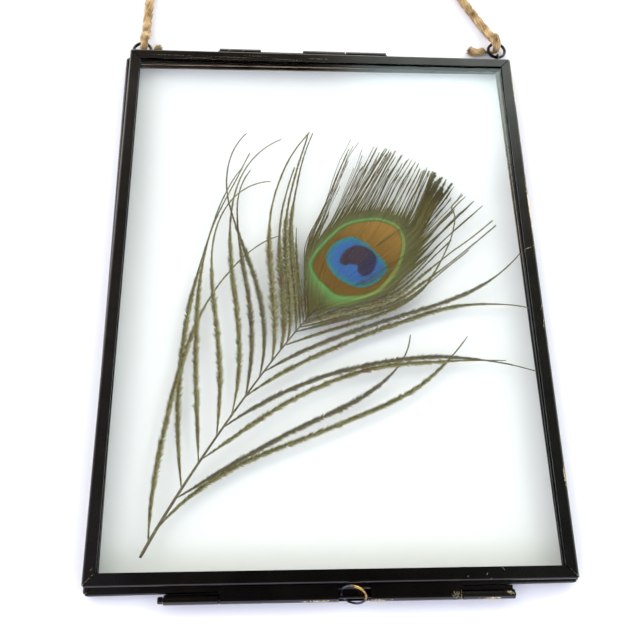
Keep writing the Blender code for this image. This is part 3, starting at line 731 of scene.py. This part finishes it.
def barbule_tree():
    """Barbs with two rows of barbules, as short flat spikes, along every line of a curve."""
    tree = bpy.data.node_groups.new("barbs", "GeometryNodeTree")
    sizes = (
        ("Barbule spacing", 0.00016),
        ("Barbule width", 0.00034),
        ("Barbule thickness", 0.00004),
        ("Barbule angle", math.radians(45)),
        ("Barb radius", 0.00014),
    )
    tree.interface.new_socket("Geometry", in_out="INPUT", socket_type="NodeSocketGeometry")
    for label, value in sizes:
        made = tree.interface.new_socket(label, in_out="INPUT", socket_type="NodeSocketFloat")
        made.default_value = value
    tree.interface.new_socket("Seed", in_out="INPUT", socket_type="NodeSocketInt")
    tree.interface.new_socket("Material", in_out="INPUT", socket_type="NodeSocketMaterial")
    tree.interface.new_socket("Geometry", in_out="OUTPUT", socket_type="NodeSocketGeometry")
    given = add(tree, "NodeGroupInput")
    which = add(tree, "GeometryNodeCurveOfPoint")
    tone = add(
        tree, "FunctionNodeRandomValue", {"ID": (which, "Curve Index"), "Seed": (given, "Seed")}
    )
    radius = add(tree, "GeometryNodeInputRadius")
    lines = (given, "Geometry")
    for name, value in (("tone", tone), ("reach", radius)):
        lines = add(
            tree,
            "GeometryNodeStoreNamedAttribute",
            {"Geometry": lines, "Name": name, "Value": value},
        )
    # The barb's own stem, thinning to its tip
    run = (add(tree, "GeometryNodeSplineParameter"), "Factor")
    thin = add(tree, "ShaderNodeMapRange", {"Value": run, "To Min": 1.0, "To Max": 0.5})
    stem_size = add(
        tree, "ShaderNodeMath", {0: thin, 1: (given, "Barb radius")}, operation="MULTIPLY"
    )
    circle = add(tree, "GeometryNodeCurvePrimitiveCircle", {"Resolution": 4, "Radius": 1.0})
    stems = add(
        tree,
        "GeometryNodeCurveToMesh",
        {"Curve": lines, "Profile Curve": circle, "Scale": stem_size, "Fill Caps": True},
    )
    # One barbule, lying along +X, one metre long until it is scaled
    cone = add(
        tree,
        "GeometryNodeMeshCone",
        {"Vertices": 3, "Radius Top": 0.0, "Radius Bottom": 0.577, "Depth": 1.0},
    )
    flat = add(
        tree,
        "ShaderNodeCombineXYZ",
        {"X": (given, "Barbule thickness"), "Y": (given, "Barbule width"), "Z": 1.0},
    )
    spike = add(tree, "GeometryNodeTransform", {"Geometry": (cone, "Mesh"), "Scale": flat})
    spike = add(
        tree, "GeometryNodeTransform", {"Geometry": spike, "Rotation": (0, math.radians(90), 0)}
    )
    outward = add(tree, "ShaderNodeSeparateXYZ", {0: add(tree, "GeometryNodeInputPosition")})
    spike = add(
        tree,
        "GeometryNodeStoreNamedAttribute",
        {"Geometry": spike, "Name": "outward", "Value": (outward, "X")},
    )
    spots = add(
        tree,
        "GeometryNodeCurveToPoints",
        {"Curve": lines, "Length": (given, "Barbule spacing")},
        mode="LENGTH",
    )
    heading = add(tree, "ShaderNodeSeparateXYZ", {0: (spots, "Tangent")})
    ahead = add(
        tree, "ShaderNodeMath", {0: (heading, "Y"), 1: (heading, "X")}, operation="ARCTAN2"
    )
    index = add(tree, "GeometryNodeInputIndex")
    reach = add(tree, "GeometryNodeInputNamedAttribute", {"Name": "reach"})
    parts = [stems]
    for side in (1, -1):
        # Barbules cling together in tufts of three to five, which share their length and lean
        tuft = add(tree, "ShaderNodeMath", {0: index, 1: 3.7 + side * 0.6}, operation="DIVIDE")
        tuft = add(tree, "ShaderNodeMath", {0: tuft}, operation="FLOOR")
        tuft_lean = add(
            tree, "FunctionNodeRandomValue", {"Min": -0.13, "Max": 0.13, "ID": tuft, "Seed": 11 + side}
        )
        tuft_size = add(
            tree, "FunctionNodeRandomValue", {"Min": 0.66, "Max": 1.0, "ID": tuft, "Seed": 21 + side}
        )
        own_lean = add(tree, "FunctionNodeRandomValue", {"Min": -0.17, "Max": 0.17, "Seed": 31 + side})
        lift = add(tree, "FunctionNodeRandomValue", {"Min": -0.12, "Max": 0.2, "Seed": 41 + side})
        splay = add(
            tree,
            "ShaderNodeMath",
            {0: (given, "Barbule angle"), 1: side, 2: ahead},
            operation="MULTIPLY_ADD",
        )
        lean = add(tree, "ShaderNodeMath", {0: tuft_lean, 1: own_lean}, operation="ADD")
        turn = add(tree, "ShaderNodeMath", {0: splay, 1: lean}, operation="ADD")
        euler = add(tree, "ShaderNodeCombineXYZ", {"Y": lift, "Z": turn})
        size = add(tree, "ShaderNodeMath", {0: (reach, "Attribute"), 1: tuft_size}, operation="MULTIPLY")
        stretch = add(tree, "ShaderNodeCombineXYZ", {"X": size, "Y": 1.0, "Z": 1.0})
        # None is grown that would be shorter than 0.05 mm
        grown = add(tree, "ShaderNodeMath", {0: size, 1: 0.00005}, operation="GREATER_THAN")
        # Which flank a barbule is on, because the loose barbs are darker on one
        turned = add(
            tree,
            "GeometryNodeStoreNamedAttribute",
            {"Geometry": spike, "Name": "flank", "Value": float(side)},
        )
        parts.append(
            add(
                tree,
                "GeometryNodeInstanceOnPoints",
                {
                    "Points": (spots, "Points"),
                    "Selection": grown,
                    "Instance": turned,
                    "Rotation": add(tree, "FunctionNodeEulerToRotation", {"Euler": euler}),
                    "Scale": stretch,
                },
            )
        )
    joined = add(tree, "GeometryNodeJoinGeometry")
    for part in reversed(parts):
        tree.links.new(socket(part.outputs, None), joined.inputs[0])
    real = add(tree, "GeometryNodeRealizeInstances", {"Geometry": joined})
    dressed = add(
        tree,
        "GeometryNodeSetMaterial",
        {"Geometry": real, "Material": (given, "Material")},
    )
    add(tree, "NodeGroupOutput", {0: dressed})
    return tree


BARBULES = barbule_tree()


def grow(curve, material, **inputs):
    """The barbs of a curve object as one plain mesh piece. Inputs are named as in the tree."""
    live = curve.modifiers.new("barbs", "NODES")
    live.node_group = BARBULES
    wanted = {key.replace("_", " "): value for key, value in inputs.items()}
    wanted["Material"] = material
    for item in BARBULES.interface.items_tree:
        if item.in_out == "INPUT" and item.name in wanted:
            live[item.identifier] = wanted[item.name]
    graph = bpy.context.evaluated_depsgraph_get()
    mesh = bpy.data.meshes.new_from_object(curve.evaluated_get(graph))
    name = curve.name
    bpy.data.objects.remove(curve)
    mesh.name = name
    return place_object(name, mesh)


def settle(piece, node):
    """Declares a piece of the back half, and hides the solid that it stands for."""
    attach(piece, "back_half")
    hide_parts(node)


def loose_barbs(rows, side, ends, reach):
    """Long loose barbs from their rows: bare where they leave the shaft, close with barbules
    in the middle, and thin as a thread from where their vane ends. Reach is the length of the
    longest barbules on each barb."""
    barbs = []
    for i, (share, length, headings) in enumerate(rows):
        flat = walk(SHAFT[round(share * SHAFT_STEPS)], length * MM, headings, BARB_STEPS)
        flat = wobble(flat, 0.0008, length / 22, i + 10 * side)
        run = np.linspace(0, 1, len(flat))
        # The barbs lie over each other in seven layers
        level = 0.00315 + 0.00012 * ((i * 5 + 2) % 7)
        rise = SHAFT_HEIGHT + (level - SHAFT_HEIGHT) * np.clip(run * 8, 0, 1)
        end = ends[i]
        full = np.interp(
            run,
            (0, 0.03, 0.08, 0.18, end - 0.10, end, end + 0.06, 1),
            (0.2, 0.36, 0.68, 1, 1, 0.65, 0.34, 0.18),
        )
        ragged = [0.95 + 0.25 * noise.noise(Vector((length * r * 0.3, i * 3.1, side))) for r in run]
        barbs.append((np.column_stack((flat, rise)), reach[i] * full * np.array(ragged)))
    return barbs


def drawn_barbs(rows, level, taper=(0.3, 1, 0.9, 0.3)):
    """Barbs along smooth lines through given places, each row led by its barbules' length."""
    barbs = []
    for i, (size, *stations) in enumerate(rows):
        path = wobble(even_path(stations, VANE_STEPS) * MM, 0.0005, 4, i * 2.3)
        run = np.linspace(0, 1, VANE_STEPS)
        full = np.interp(run, (0, 0.16, 0.45, 0.7), taper)
        ragged = [0.95 + 0.25 * noise.noise(Vector((r * 30, i * 3.1, 5))) for r in run]
        rise = np.full(VANE_STEPS, level + 0.00008 * i)
        barbs.append((np.column_stack((path, rise)), size * MM * full * ragged))
    return barbs


def outline_gap(points, outline):
    """Signed distances in millimetres from points to a smooth closed outline, below 0 inside."""
    loop = np.array(outline)
    closed = np.concatenate((loop[-2:], loop, loop[:3]))
    count = len(loop)
    smooth = np.array([spread(closed, (2 + k / 12) / (len(closed) - 1)) for k in range(12 * count)])
    gaps = np.full(len(points), 1e9)
    inside = np.zeros(len(points), bool)
    for a, b in zip(smooth, np.roll(smooth, -1, axis=0)):
        edge = b - a
        share = np.clip(((points - a) @ edge) / max(edge @ edge, 1e-12), 0, 1)
        gaps = np.minimum(gaps, np.linalg.norm(points - a - share[:, None] * edge, axis=1))
        crosses = (a[1] > points[:, 1]) != (b[1] > points[:, 1])
        rise = edge[1] if abs(edge[1]) > 1e-12 else 1e-12
        inside ^= crosses & (points[:, 0] < a[0] + (points[:, 1] - a[1]) * edge[0] / rise)
    return np.where(inside, -gaps, gaps)


def colour_zones(piece):
    """Stores what each point's colour depends on: its distances in millimetres to the eye's
    coloured outlines, and shares from 0 to 1 for the rest."""
    count = len(piece.data.vertices)
    places = np.empty(count * 3, np.float32)
    piece.data.vertices.foreach_get("co", places)
    flat = (places.reshape(-1, 3)[:, :2] - np.array(FRONT_MIDDLE[:2])) / MM
    rim = outline_gap(flat, GREEN_RIM)
    # The bright green that spreads from the rim down towards the shaft
    towards = np.clip((6.0 - flat @ np.array((0.62, 0.78))) / 14, 0, 1)
    wedge = np.exp(-np.maximum(rim, 0) / 2.6) * np.clip(towards * 1.6, 0, 1)
    # The green reaches further in at the foot of the rim
    foot = np.clip((2.0 - flat @ np.array((0.3, 0.95))) / 8, 0, 1)
    rim = np.where(rim < -0.3, np.minimum(rim + foot, -0.3), rim)
    zones = {
        "rim": rim,
        "disc": outline_gap(flat, BLUE_DISC),
        "heart": outline_gap(flat, DARK_HEART),
        "wedge": wedge,
        # Painted shade, strongest where the fringe's barbs lie thickest
        "thick_barb_shade": np.exp(-((np.linalg.norm(flat - np.array((45.5, 40.5)), axis=1) / 7.0) ** 3)),
        "north": np.clip((flat @ np.array((0.55, 0.83)) - 18) / 14, 0, 1),
        "east": np.clip((flat @ np.array((0.9, -0.44)) - 6) / 14, 0, 1),
    }
    for name, values in zones.items():
        layer = piece.data.attributes.new(name, "FLOAT", "POINT")
        layer.data.foreach_set("value", np.asarray(values, np.float32))


def vane_barbs(
    keys,
    count,
    seed,
    clumps=(2, 5),
    cling=0.7,
    close_to=(2.0, 5.0),
    past=0.30,
    shortest=0.16,
    least=0.8,
):
    """Barbs spread between the key ones, each with the length of its barbules.

    All lengths are in millimetres. Near the eye barbules reach the next barb and are no
    shorter than least. Between the two distances from the rim in close_to they shorten to
    about past. Further out the barbs lean together, by the share in cling, in clumps of the
    numbers in clumps. A barb may lack up to the share shortest of its tip."""
    family = []
    for i in range(count):
        share = i / (count - 1)
        stations = [spread([key[k] for key in keys], share) for k in range(len(keys[0]))]
        family.append(even_path(stations, VANE_STEPS))
    family = np.array(family)
    # How far each barb lies from its neighbours, so that its barbules reach them
    apart = np.zeros((count, VANE_STEPS))
    for i in range(count - 1):
        gaps = np.linalg.norm(family[i][:, None] - family[i + 1][None], axis=2)
        apart[i] = np.maximum(apart[i], gaps.min(axis=1))
        apart[i + 1] = np.maximum(apart[i + 1], gaps.min(axis=0))
    rng = np.random.default_rng(seed)
    barbs = []
    leader = np.zeros(count, int)
    i = 0
    while i < count:
        size = int(rng.integers(clumps[0], clumps[1] + 1))
        leader[i : i + size] = min(i + size // 2, count - 1)
        i += size
    for i in range(count):
        gap = outline_gap(family[i], GREEN_RIM)
        # The barbs lean together beyond the eye, and not where they come up to it
        outside = np.where(np.arange(VANE_STEPS) > 40, gap, np.minimum(gap, 0))
        pull = np.interp(outside, (close_to[0], close_to[1] + 6, 28), (0, 0.75 * cling, cling))
        path = family[i] + (family[leader[i]] - family[i]) * pull[:, None]
        last = int(VANE_STEPS * (1.0 - shortest * rng.random() ** 1.5))
        path = wobble(path[:last] * MM, 0.0009, 5, i * 1.7 + seed)
        close = np.clip(2.3 * apart[i][:last], least, 3.0)
        low, high = close_to
        share_run = np.arange(last) / (last - 1)
        # Where the close vane ends differs a little from barb to barb, and its edge is ragged
        ragged = np.array([noise.noise(Vector((k * 0.9, i * 5.3, seed))) for k in range(last)])
        beyond = gap[:last] * rng.uniform(0.75, 1.5) + 2.0 * ragged
        far = past * rng.uniform(0.5, 1.2) * np.interp(beyond, (low, high + 1, high + 5), (0.7, 0.7, 1))
        fade = np.interp(beyond, (low, low + 1.5, high + 1, high + 5), (1, 0.45, 0.22, 0))
        length = (far + (close - far) * fade) * np.where(beyond > low, 1 + 0.7 * ragged, 1)
        length = length * np.interp(share_run, (0, 0.03, 0.9, 0.96, 1), (0.6, 1, 1, 1.5, 1.0))
        level = 0.00325 + 0.00028 * rng.random() + 0.0002 * (share_run**2) * rng.random()
        barbs.append((np.column_stack((path, level)), length * MM))
    return barbs


def make_shaft():
    """The tapering shaft as one closed tube, a little flattened."""
    count, sides = 60, 12
    path = even_path(SHAFT, count)
    form = bmesh.new()
    rings = []
    for i, spot in enumerate(path):
        share = i / (count - 1)
        ahead = unit(path[min(i + 1, count - 1)] - path[max(i - 1, 0)])
        side = np.array((-ahead[1], ahead[0]))
        radius = float(spread(SHAFT_RADIUS, share))
        # The quill's cut end is rounded off
        if i == 0:
            radius *= 0.7
        # Inside the eye the shaft sinks under the barbs that spring from it
        height = SHAFT_HEIGHT - 0.00045 * min(max((share - 0.76) / 0.08, 0), 1)
        ring = []
        for k in range(sides):
            angle = math.tau * k / sides
            out = side * radius * math.cos(angle)
            rise = height + radius * 0.9 * math.sin(angle)
            ring.append(form.verts.new(Vector((*(spot + out), rise)) + FRONT_MIDDLE))
        rings.append(ring)
    skin(form, rings)
    settle(smooth_piece("feather_shaft", form, KERATIN), "feather")


def make_feather():
    make_shaft()
    # Where the vane of each loose barb ends, and how long its barbules are
    left_ends = (0.62, 0.55, 0.58, 0.55, 0.56, 0.60, 0.53, 0.49, 0.54, 0.53, 0.56, 0.8, 0.8)
    left_reach = (*[0.0026] * 7, *[0.0034] * 3, 0.0028, 0.0018, 0.0016)
    right_ends = (0.86, 0.80, 0.80, 0.78, 0.80, 0.80)
    right_reach = [0.0024] * 6
    for name, barbs, seed in (
        ("feather_barbs_left", loose_barbs(LEFT_BARBS, 0, left_ends, left_reach), 3),
        ("feather_barbs_right", loose_barbs(RIGHT_BARBS, 1, right_ends, right_reach), 4),
        ("feather_barbs_under", drawn_barbs(UNDER_BARBS, 0.0033), 12),
        ("feather_barbs_stray", drawn_barbs(STRAY_BARBS, 0.0040, (0.1, 1, 1, 0.3)), 2),
    ):
        lines = barb_curve(name, barbs)
        piece = grow(lines, BARB, Seed=seed, Barbule_angle=math.radians(38), Barb_radius=0.00019)
        settle(piece, "feather")
    left = vane_barbs(VANE_BARBS[:5], 56, 5)
    lean = vane_barbs(LEAN_BARBS, 4, 3, past=0.2, clumps=(1, 2), shortest=0.2)
    band = vane_barbs(BAND_BARBS, 9, 8, clumps=(3, 4), shortest=0.42, least=1.3)
    right = vane_barbs((VANE_BARBS[4], CLUMP_BARBS[0]), 11, 6, close_to=(4, 8))
    clump = vane_barbs(
        CLUMP_BARBS, 22, 9, close_to=(5, 9), cling=0.35, clumps=(4, 7), past=1.15, shortest=0.15
    )
    gap = (CLUMP_BARBS[1], VANE_BARBS[6])
    apart = vane_barbs(gap, 10, 4, close_to=(6, 10), cling=0.93, clumps=(3, 4))
    low = vane_barbs(VANE_BARBS[6:], 14, 7, close_to=(4, 8), clumps=(4, 6), cling=0.93)
    for name, barbs in (
        ("feather_vane_left", left[:-1]),
        ("feather_band", band + lean),
        ("feather_vane_right", right[:-1] + clump + apart[1:-1] + low),
    ):
        lines = barb_curve(name, barbs)
        vane = grow(lines, VANE, Seed=9, Barbule_width=0.0003, Barbule_spacing=0.00018)
        colour_zones(vane)
        settle(vane, "feather")


# Twine


def along(points):
    """Each point with the run to it and two directions square to the way ahead."""
    ahead = unit(np.gradient(points, axis=0))
    side = np.cross((0, 0, 1), ahead[0])
    if np.linalg.norm(side) < 1e-6:
        side = np.array((1.0, 0, 0))
    run = 0.0
    for i, spot in enumerate(points):
        side = unit(side - ahead[i] * (side @ ahead[i]))
        if i:
            run += float(np.linalg.norm(spot - points[i - 1]))
        yield spot, run, side, np.cross(ahead[i], side)


def strand_points(route, offset, phase):
    """Points round a route at an offset, once round for each turn of the strands."""
    points = []
    for (spot, run, side, up), out in zip(along(route), offset):
        angle = phase + math.tau * run / STRAND_TURN
        points.append(spot + out * (side * math.cos(angle) + up * math.sin(angle)))
    return np.array(points)


def tube(form, points, radii, sides=8):
    """Adds one closed tube through the points to a mesh in the making. Its lay says where a
    point is along and round it, for the fibres."""
    lay = form.verts.layers.float_vector["lay"]
    rings = []
    for (spot, run, side, up), radius in zip(along(points), radii):
        ring = []
        for k in range(sides):
            angle = math.tau * k / sides
            across, rise = math.cos(angle), math.sin(angle)
            corner = form.verts.new(spot + radius * (side * across + up * rise))
            corner[lay] = (run / FIBRE_LENGTH, FIBRES_ACROSS * across, FIBRES_ACROSS * rise)
            ring.append(corner)
        rings.append(ring)
    skin(form, rings)


def square_to(ahead, rng):
    """A random direction square to the way ahead, not yet made one long."""
    out = rng.normal(size=3)
    return out - ahead * (out @ ahead)


def make_rope(name, route, radii, seed, cut=False):
    """Three twisted strands along a route, with loose fibres standing off them. A cut end
    spreads into a short brush."""
    form = bmesh.new()
    form.verts.layers.float_vector.new("lay")
    rng = np.random.default_rng(seed)
    count = len(route)
    for k in range(3):
        points = strand_points(route, radii * STRAND_OFFSET, math.tau * k / 3)
        tube(form, points, radii * STRAND_RADIUS)
    # Loose fibres, about 0.1 mm thick
    for _ in range(int(count * 1.2)):
        at = rng.integers(0, count - 1)
        radius = radii[at]
        start = route[at]
        ahead = unit(route[min(at + 1, count - 1)] - route[max(at - 1, 0)])
        out = unit(square_to(ahead, rng))
        # None is drawn through the table
        if start[2] + out[2] * radius < 0.0004 and out[2] < 0:
            out[2] = abs(out[2])
        root = start + out * radius * 0.85
        length = rng.uniform(0.3, 0.9) * radius
        lean = unit(ahead * rng.uniform(-1, 1) + out * rng.uniform(0.15, 0.5))
        bend = root + lean * length * 0.5
        tip = bend + (lean + out * rng.uniform(-0.5, 0.3)) * length * 0.5
        tip[2] = max(tip[2], LOWEST_FIBRE)
        tube(form, np.array((root, bend, tip)), (0.00006, 0.00005, 0.00002), 3)
    ahead = unit(route[-1] - route[-2])
    for _ in range(90 if cut else 0):
        out = square_to(ahead, rng)
        out *= rng.uniform(0.2, 0.9) / np.linalg.norm(out)
        root = route[-3] + out * radii[-3]
        tip = route[-1] + ahead * rng.uniform(-0.0002, 0.0011) + out * radii[-1] * rng.uniform(1.0, 1.5)
        tip[2] = max(tip[2], LOWEST_FIBRE)
        bend = (root + tip) / 2 + out * 0.0001
        tube(form, np.array((root, bend, tip)), (0.00013, 0.00011, 0.00005), 4)
    return smooth_piece(name, form, JUTE)


def make_twine():
    shift = np.array((*FRONT_MIDDLE, 0))
    knots = []
    for name, node, lead, points in (
        ("twine_tail_left", "twine_knot_left", TWINE_ROUTE[1::-1], LEFT_KNOT),
        ("twine_tail_right", "twine_knot_right", TWINE_ROUTE[-2:], RIGHT_KNOT),
    ):
        # Each tail overlaps the twine's end, so that the cord runs on without a seam
        lead = [(*spot, TWINE_RADIUS * size) for spot, size in zip(lead, (0.8, 0.95))]
        route = even_path(np.array((*lead, *points)) + shift, TAIL_STEPS)
        # It is a little thicker than the part's knot, and never a bare thread
        route[:, 3] = np.maximum(route[:, 3] * 1.08, 0.0006)
        route[:, 2] = np.maximum(route[:, 2], route[:, 3])
        knots.append(make_rope(name, route[:, :3], route[:, 3], 4 + len(knots), cut=True))
        settle(knots[-1], node)
    route = even_path(np.array(TWINE_ROUTE) + np.array(FRONT_MIDDLE), ROPE_STEPS)
    twine = make_rope("twine_rope", route, np.full(ROPE_STEPS, TWINE_RADIUS), 2)
    settle(twine, "twine")


# Metal and glass


def dress_solids():
    for name, node in nodes.items():
        finish = BLACKENED
        if name.endswith("_glass"):
            finish = GLASS
            # The panes cast no shade of their own: what lies beneath is lit as if bare
            node.visible_shadow = False
            node.visible_diffuse = False
        elif name == "closure_ring":
            finish = BRASS
        for held in node.material_slots:
            held.material = finish


# Table, light and camera


def make_table():
    mesh = bpy.data.meshes.new("table")
    reach = 1.5
    corners = [(-reach, -reach, 0), (reach, -reach, 0), (reach, reach, 0), (-reach, reach, 0)]
    mesh.from_pydata(corners, [], [(0, 1, 2, 3)])
    mesh.materials.append(white_table())
    table = place_object("table", mesh)


def make_light():
    """A soft window light from the upper left, and a pale room that is dark overhead, where
    the camera stands, and bright to the upper right."""
    lamp = bpy.data.lights.new("window_light", "AREA")
    lamp.shape = "RECTANGLE"
    lamp.size, lamp.size_y = 1.3, 1.3
    lamp.energy = 7.4
    lamp.color = (1.0, 0.99, 0.98)
    light = place_object("window_light", lamp)
    from_angle, height, distance = math.radians(126), math.radians(52), 1.6
    spot = Vector(
        (
            distance * math.cos(height) * math.cos(from_angle),
            distance * math.cos(height) * math.sin(from_angle),
            distance * math.sin(height),
        )
    )
    # Nothing mirrors it, and it isn't seen through the panes
    light.visible_glossy = False
    light.visible_transmission = False
    light.location = spot
    light.rotation_euler = (-spot).to_track_quat("-Z", "Y").to_euler()

    world = bpy.data.worlds.new("room")
    world.use_nodes = True
    tree = world.node_tree
    tree.nodes.clear()
    look = add(tree, "ShaderNodeTexCoord")
    height = add(tree, "ShaderNodeSeparateXYZ", {0: (look, "Generated")})
    pale = add(
        tree,
        "ShaderNodeMapRange",
        {"Value": (height, "Z"), "From Min": 0.62, "From Max": 0.84, "To Min": 1.0, "To Max": 0.015},
        interpolation_type="SMOOTHSTEP",
    )
    # Dimmer below the picture than above it
    side = add(
        tree,
        "ShaderNodeMapRange",
        {"Value": (height, "Y"), "From Min": -0.7, "From Max": 0.7, "To Min": 2.55, "To Max": 3.9},
    )
    pale = add(tree, "ShaderNodeMath", {0: pale, 1: side}, operation="MULTIPLY")

    def overhead(key, start, end, strength, low=0.62):
        """A soft step in one direction that leaves the light from lower down alone."""
        step = add(
            tree,
            "ShaderNodeMapRange",
            {"Value": (height, key), "From Min": start, "From Max": end, "To Max": strength},
            interpolation_type="SMOOTHSTEP",
        )
        up = add(
            tree,
            "ShaderNodeMapRange",
            {"Value": (height, "Z"), "From Min": low, "From Max": low + 0.08},
        )
        return add(tree, "ShaderNodeMath", {0: step, 1: up}, operation="MULTIPLY")

    # A dark shape that the left of the top rail mirrors
    far = overhead("Y", 0.60, 0.64, 1.0, 0.4)
    left = overhead("X", 0.14, 0.03, 1.0, 0.4)
    shape = add(tree, "ShaderNodeMath", {0: far, 1: left}, operation="MULTIPLY")
    shape = add(tree, "ShaderNodeMath", {0: 1.0, 1: shape}, operation="SUBTRACT")
    # A glow on the left and right that the side rails mirror
    glow = overhead("X", -0.17, -0.21, 0.36)
    glow = add(tree, "ShaderNodeMath", {0: glow, 1: overhead("X", 0.20, 0.32, 0.2)}, operation="ADD")
    pale = add(tree, "ShaderNodeMath", {0: pale, 1: glow}, operation="ADD")
    pale = add(tree, "ShaderNodeMath", {0: pale, 1: shape}, operation="MULTIPLY")
    bright = add(
        tree,
        "ShaderNodeVectorMath",
        {0: (look, "Generated"), 1: Vector((0.25, 0.64, 0.73)).normalized()},
        operation="DOT_PRODUCT",
    )
    window = add(
        tree,
        "ShaderNodeMapRange",
        {"Value": (bright, "Value"), "From Min": 0.982, "From Max": 0.998, "To Max": 1.8},
        interpolation_type="SMOOTHSTEP",
    )
    total = add(tree, "ShaderNodeMath", {0: pale, 1: window}, operation="ADD")
    # Warmer light from above the picture, cooler from below it and overhead on the right
    upward = add(
        tree, "ShaderNodeMapRange", {"Value": (height, "Y"), "From Min": -0.6, "From Max": 0.6}
    )
    tint = add(
        tree,
        "ShaderNodeValToRGB",
        {"Fac": upward},
        stops=((0.0, "#e4e4ff"), (0.45, "#f4f3ff"), (1.0, "#fffcf4")),
    )
    tint = add(
        tree,
        "ShaderNodeMix",
        {"Factor": overhead("X", 0.04, 0.14, 1.0), "A": tint, "B": linear("#d8edec")},
        data_type="RGBA",
    )
    back = add(tree, "ShaderNodeBackground", {"Color": tint, "Strength": total})
    add(tree, "ShaderNodeOutputWorld", {"Surface": back})
    bpy.context.scene.world = world


def make_camera():
    data = bpy.data.cameras.new("camera")
    data.lens = CAMERA_LENS
    data.sensor_width = 36
    data.clip_start = 0.01
    camera = place_object("camera", data)
    camera.location = CAMERA_PLACE
    camera.rotation_euler = [math.radians(turn) for turn in CAMERA_TURNS]
    bpy.context.scene.camera = camera
    bpy.context.scene.view_settings.view_transform = "Standard"


def main():
    make_camera()
    make_table()
    make_light()
    dress_solids()
    make_twine()
    make_feather()


main()
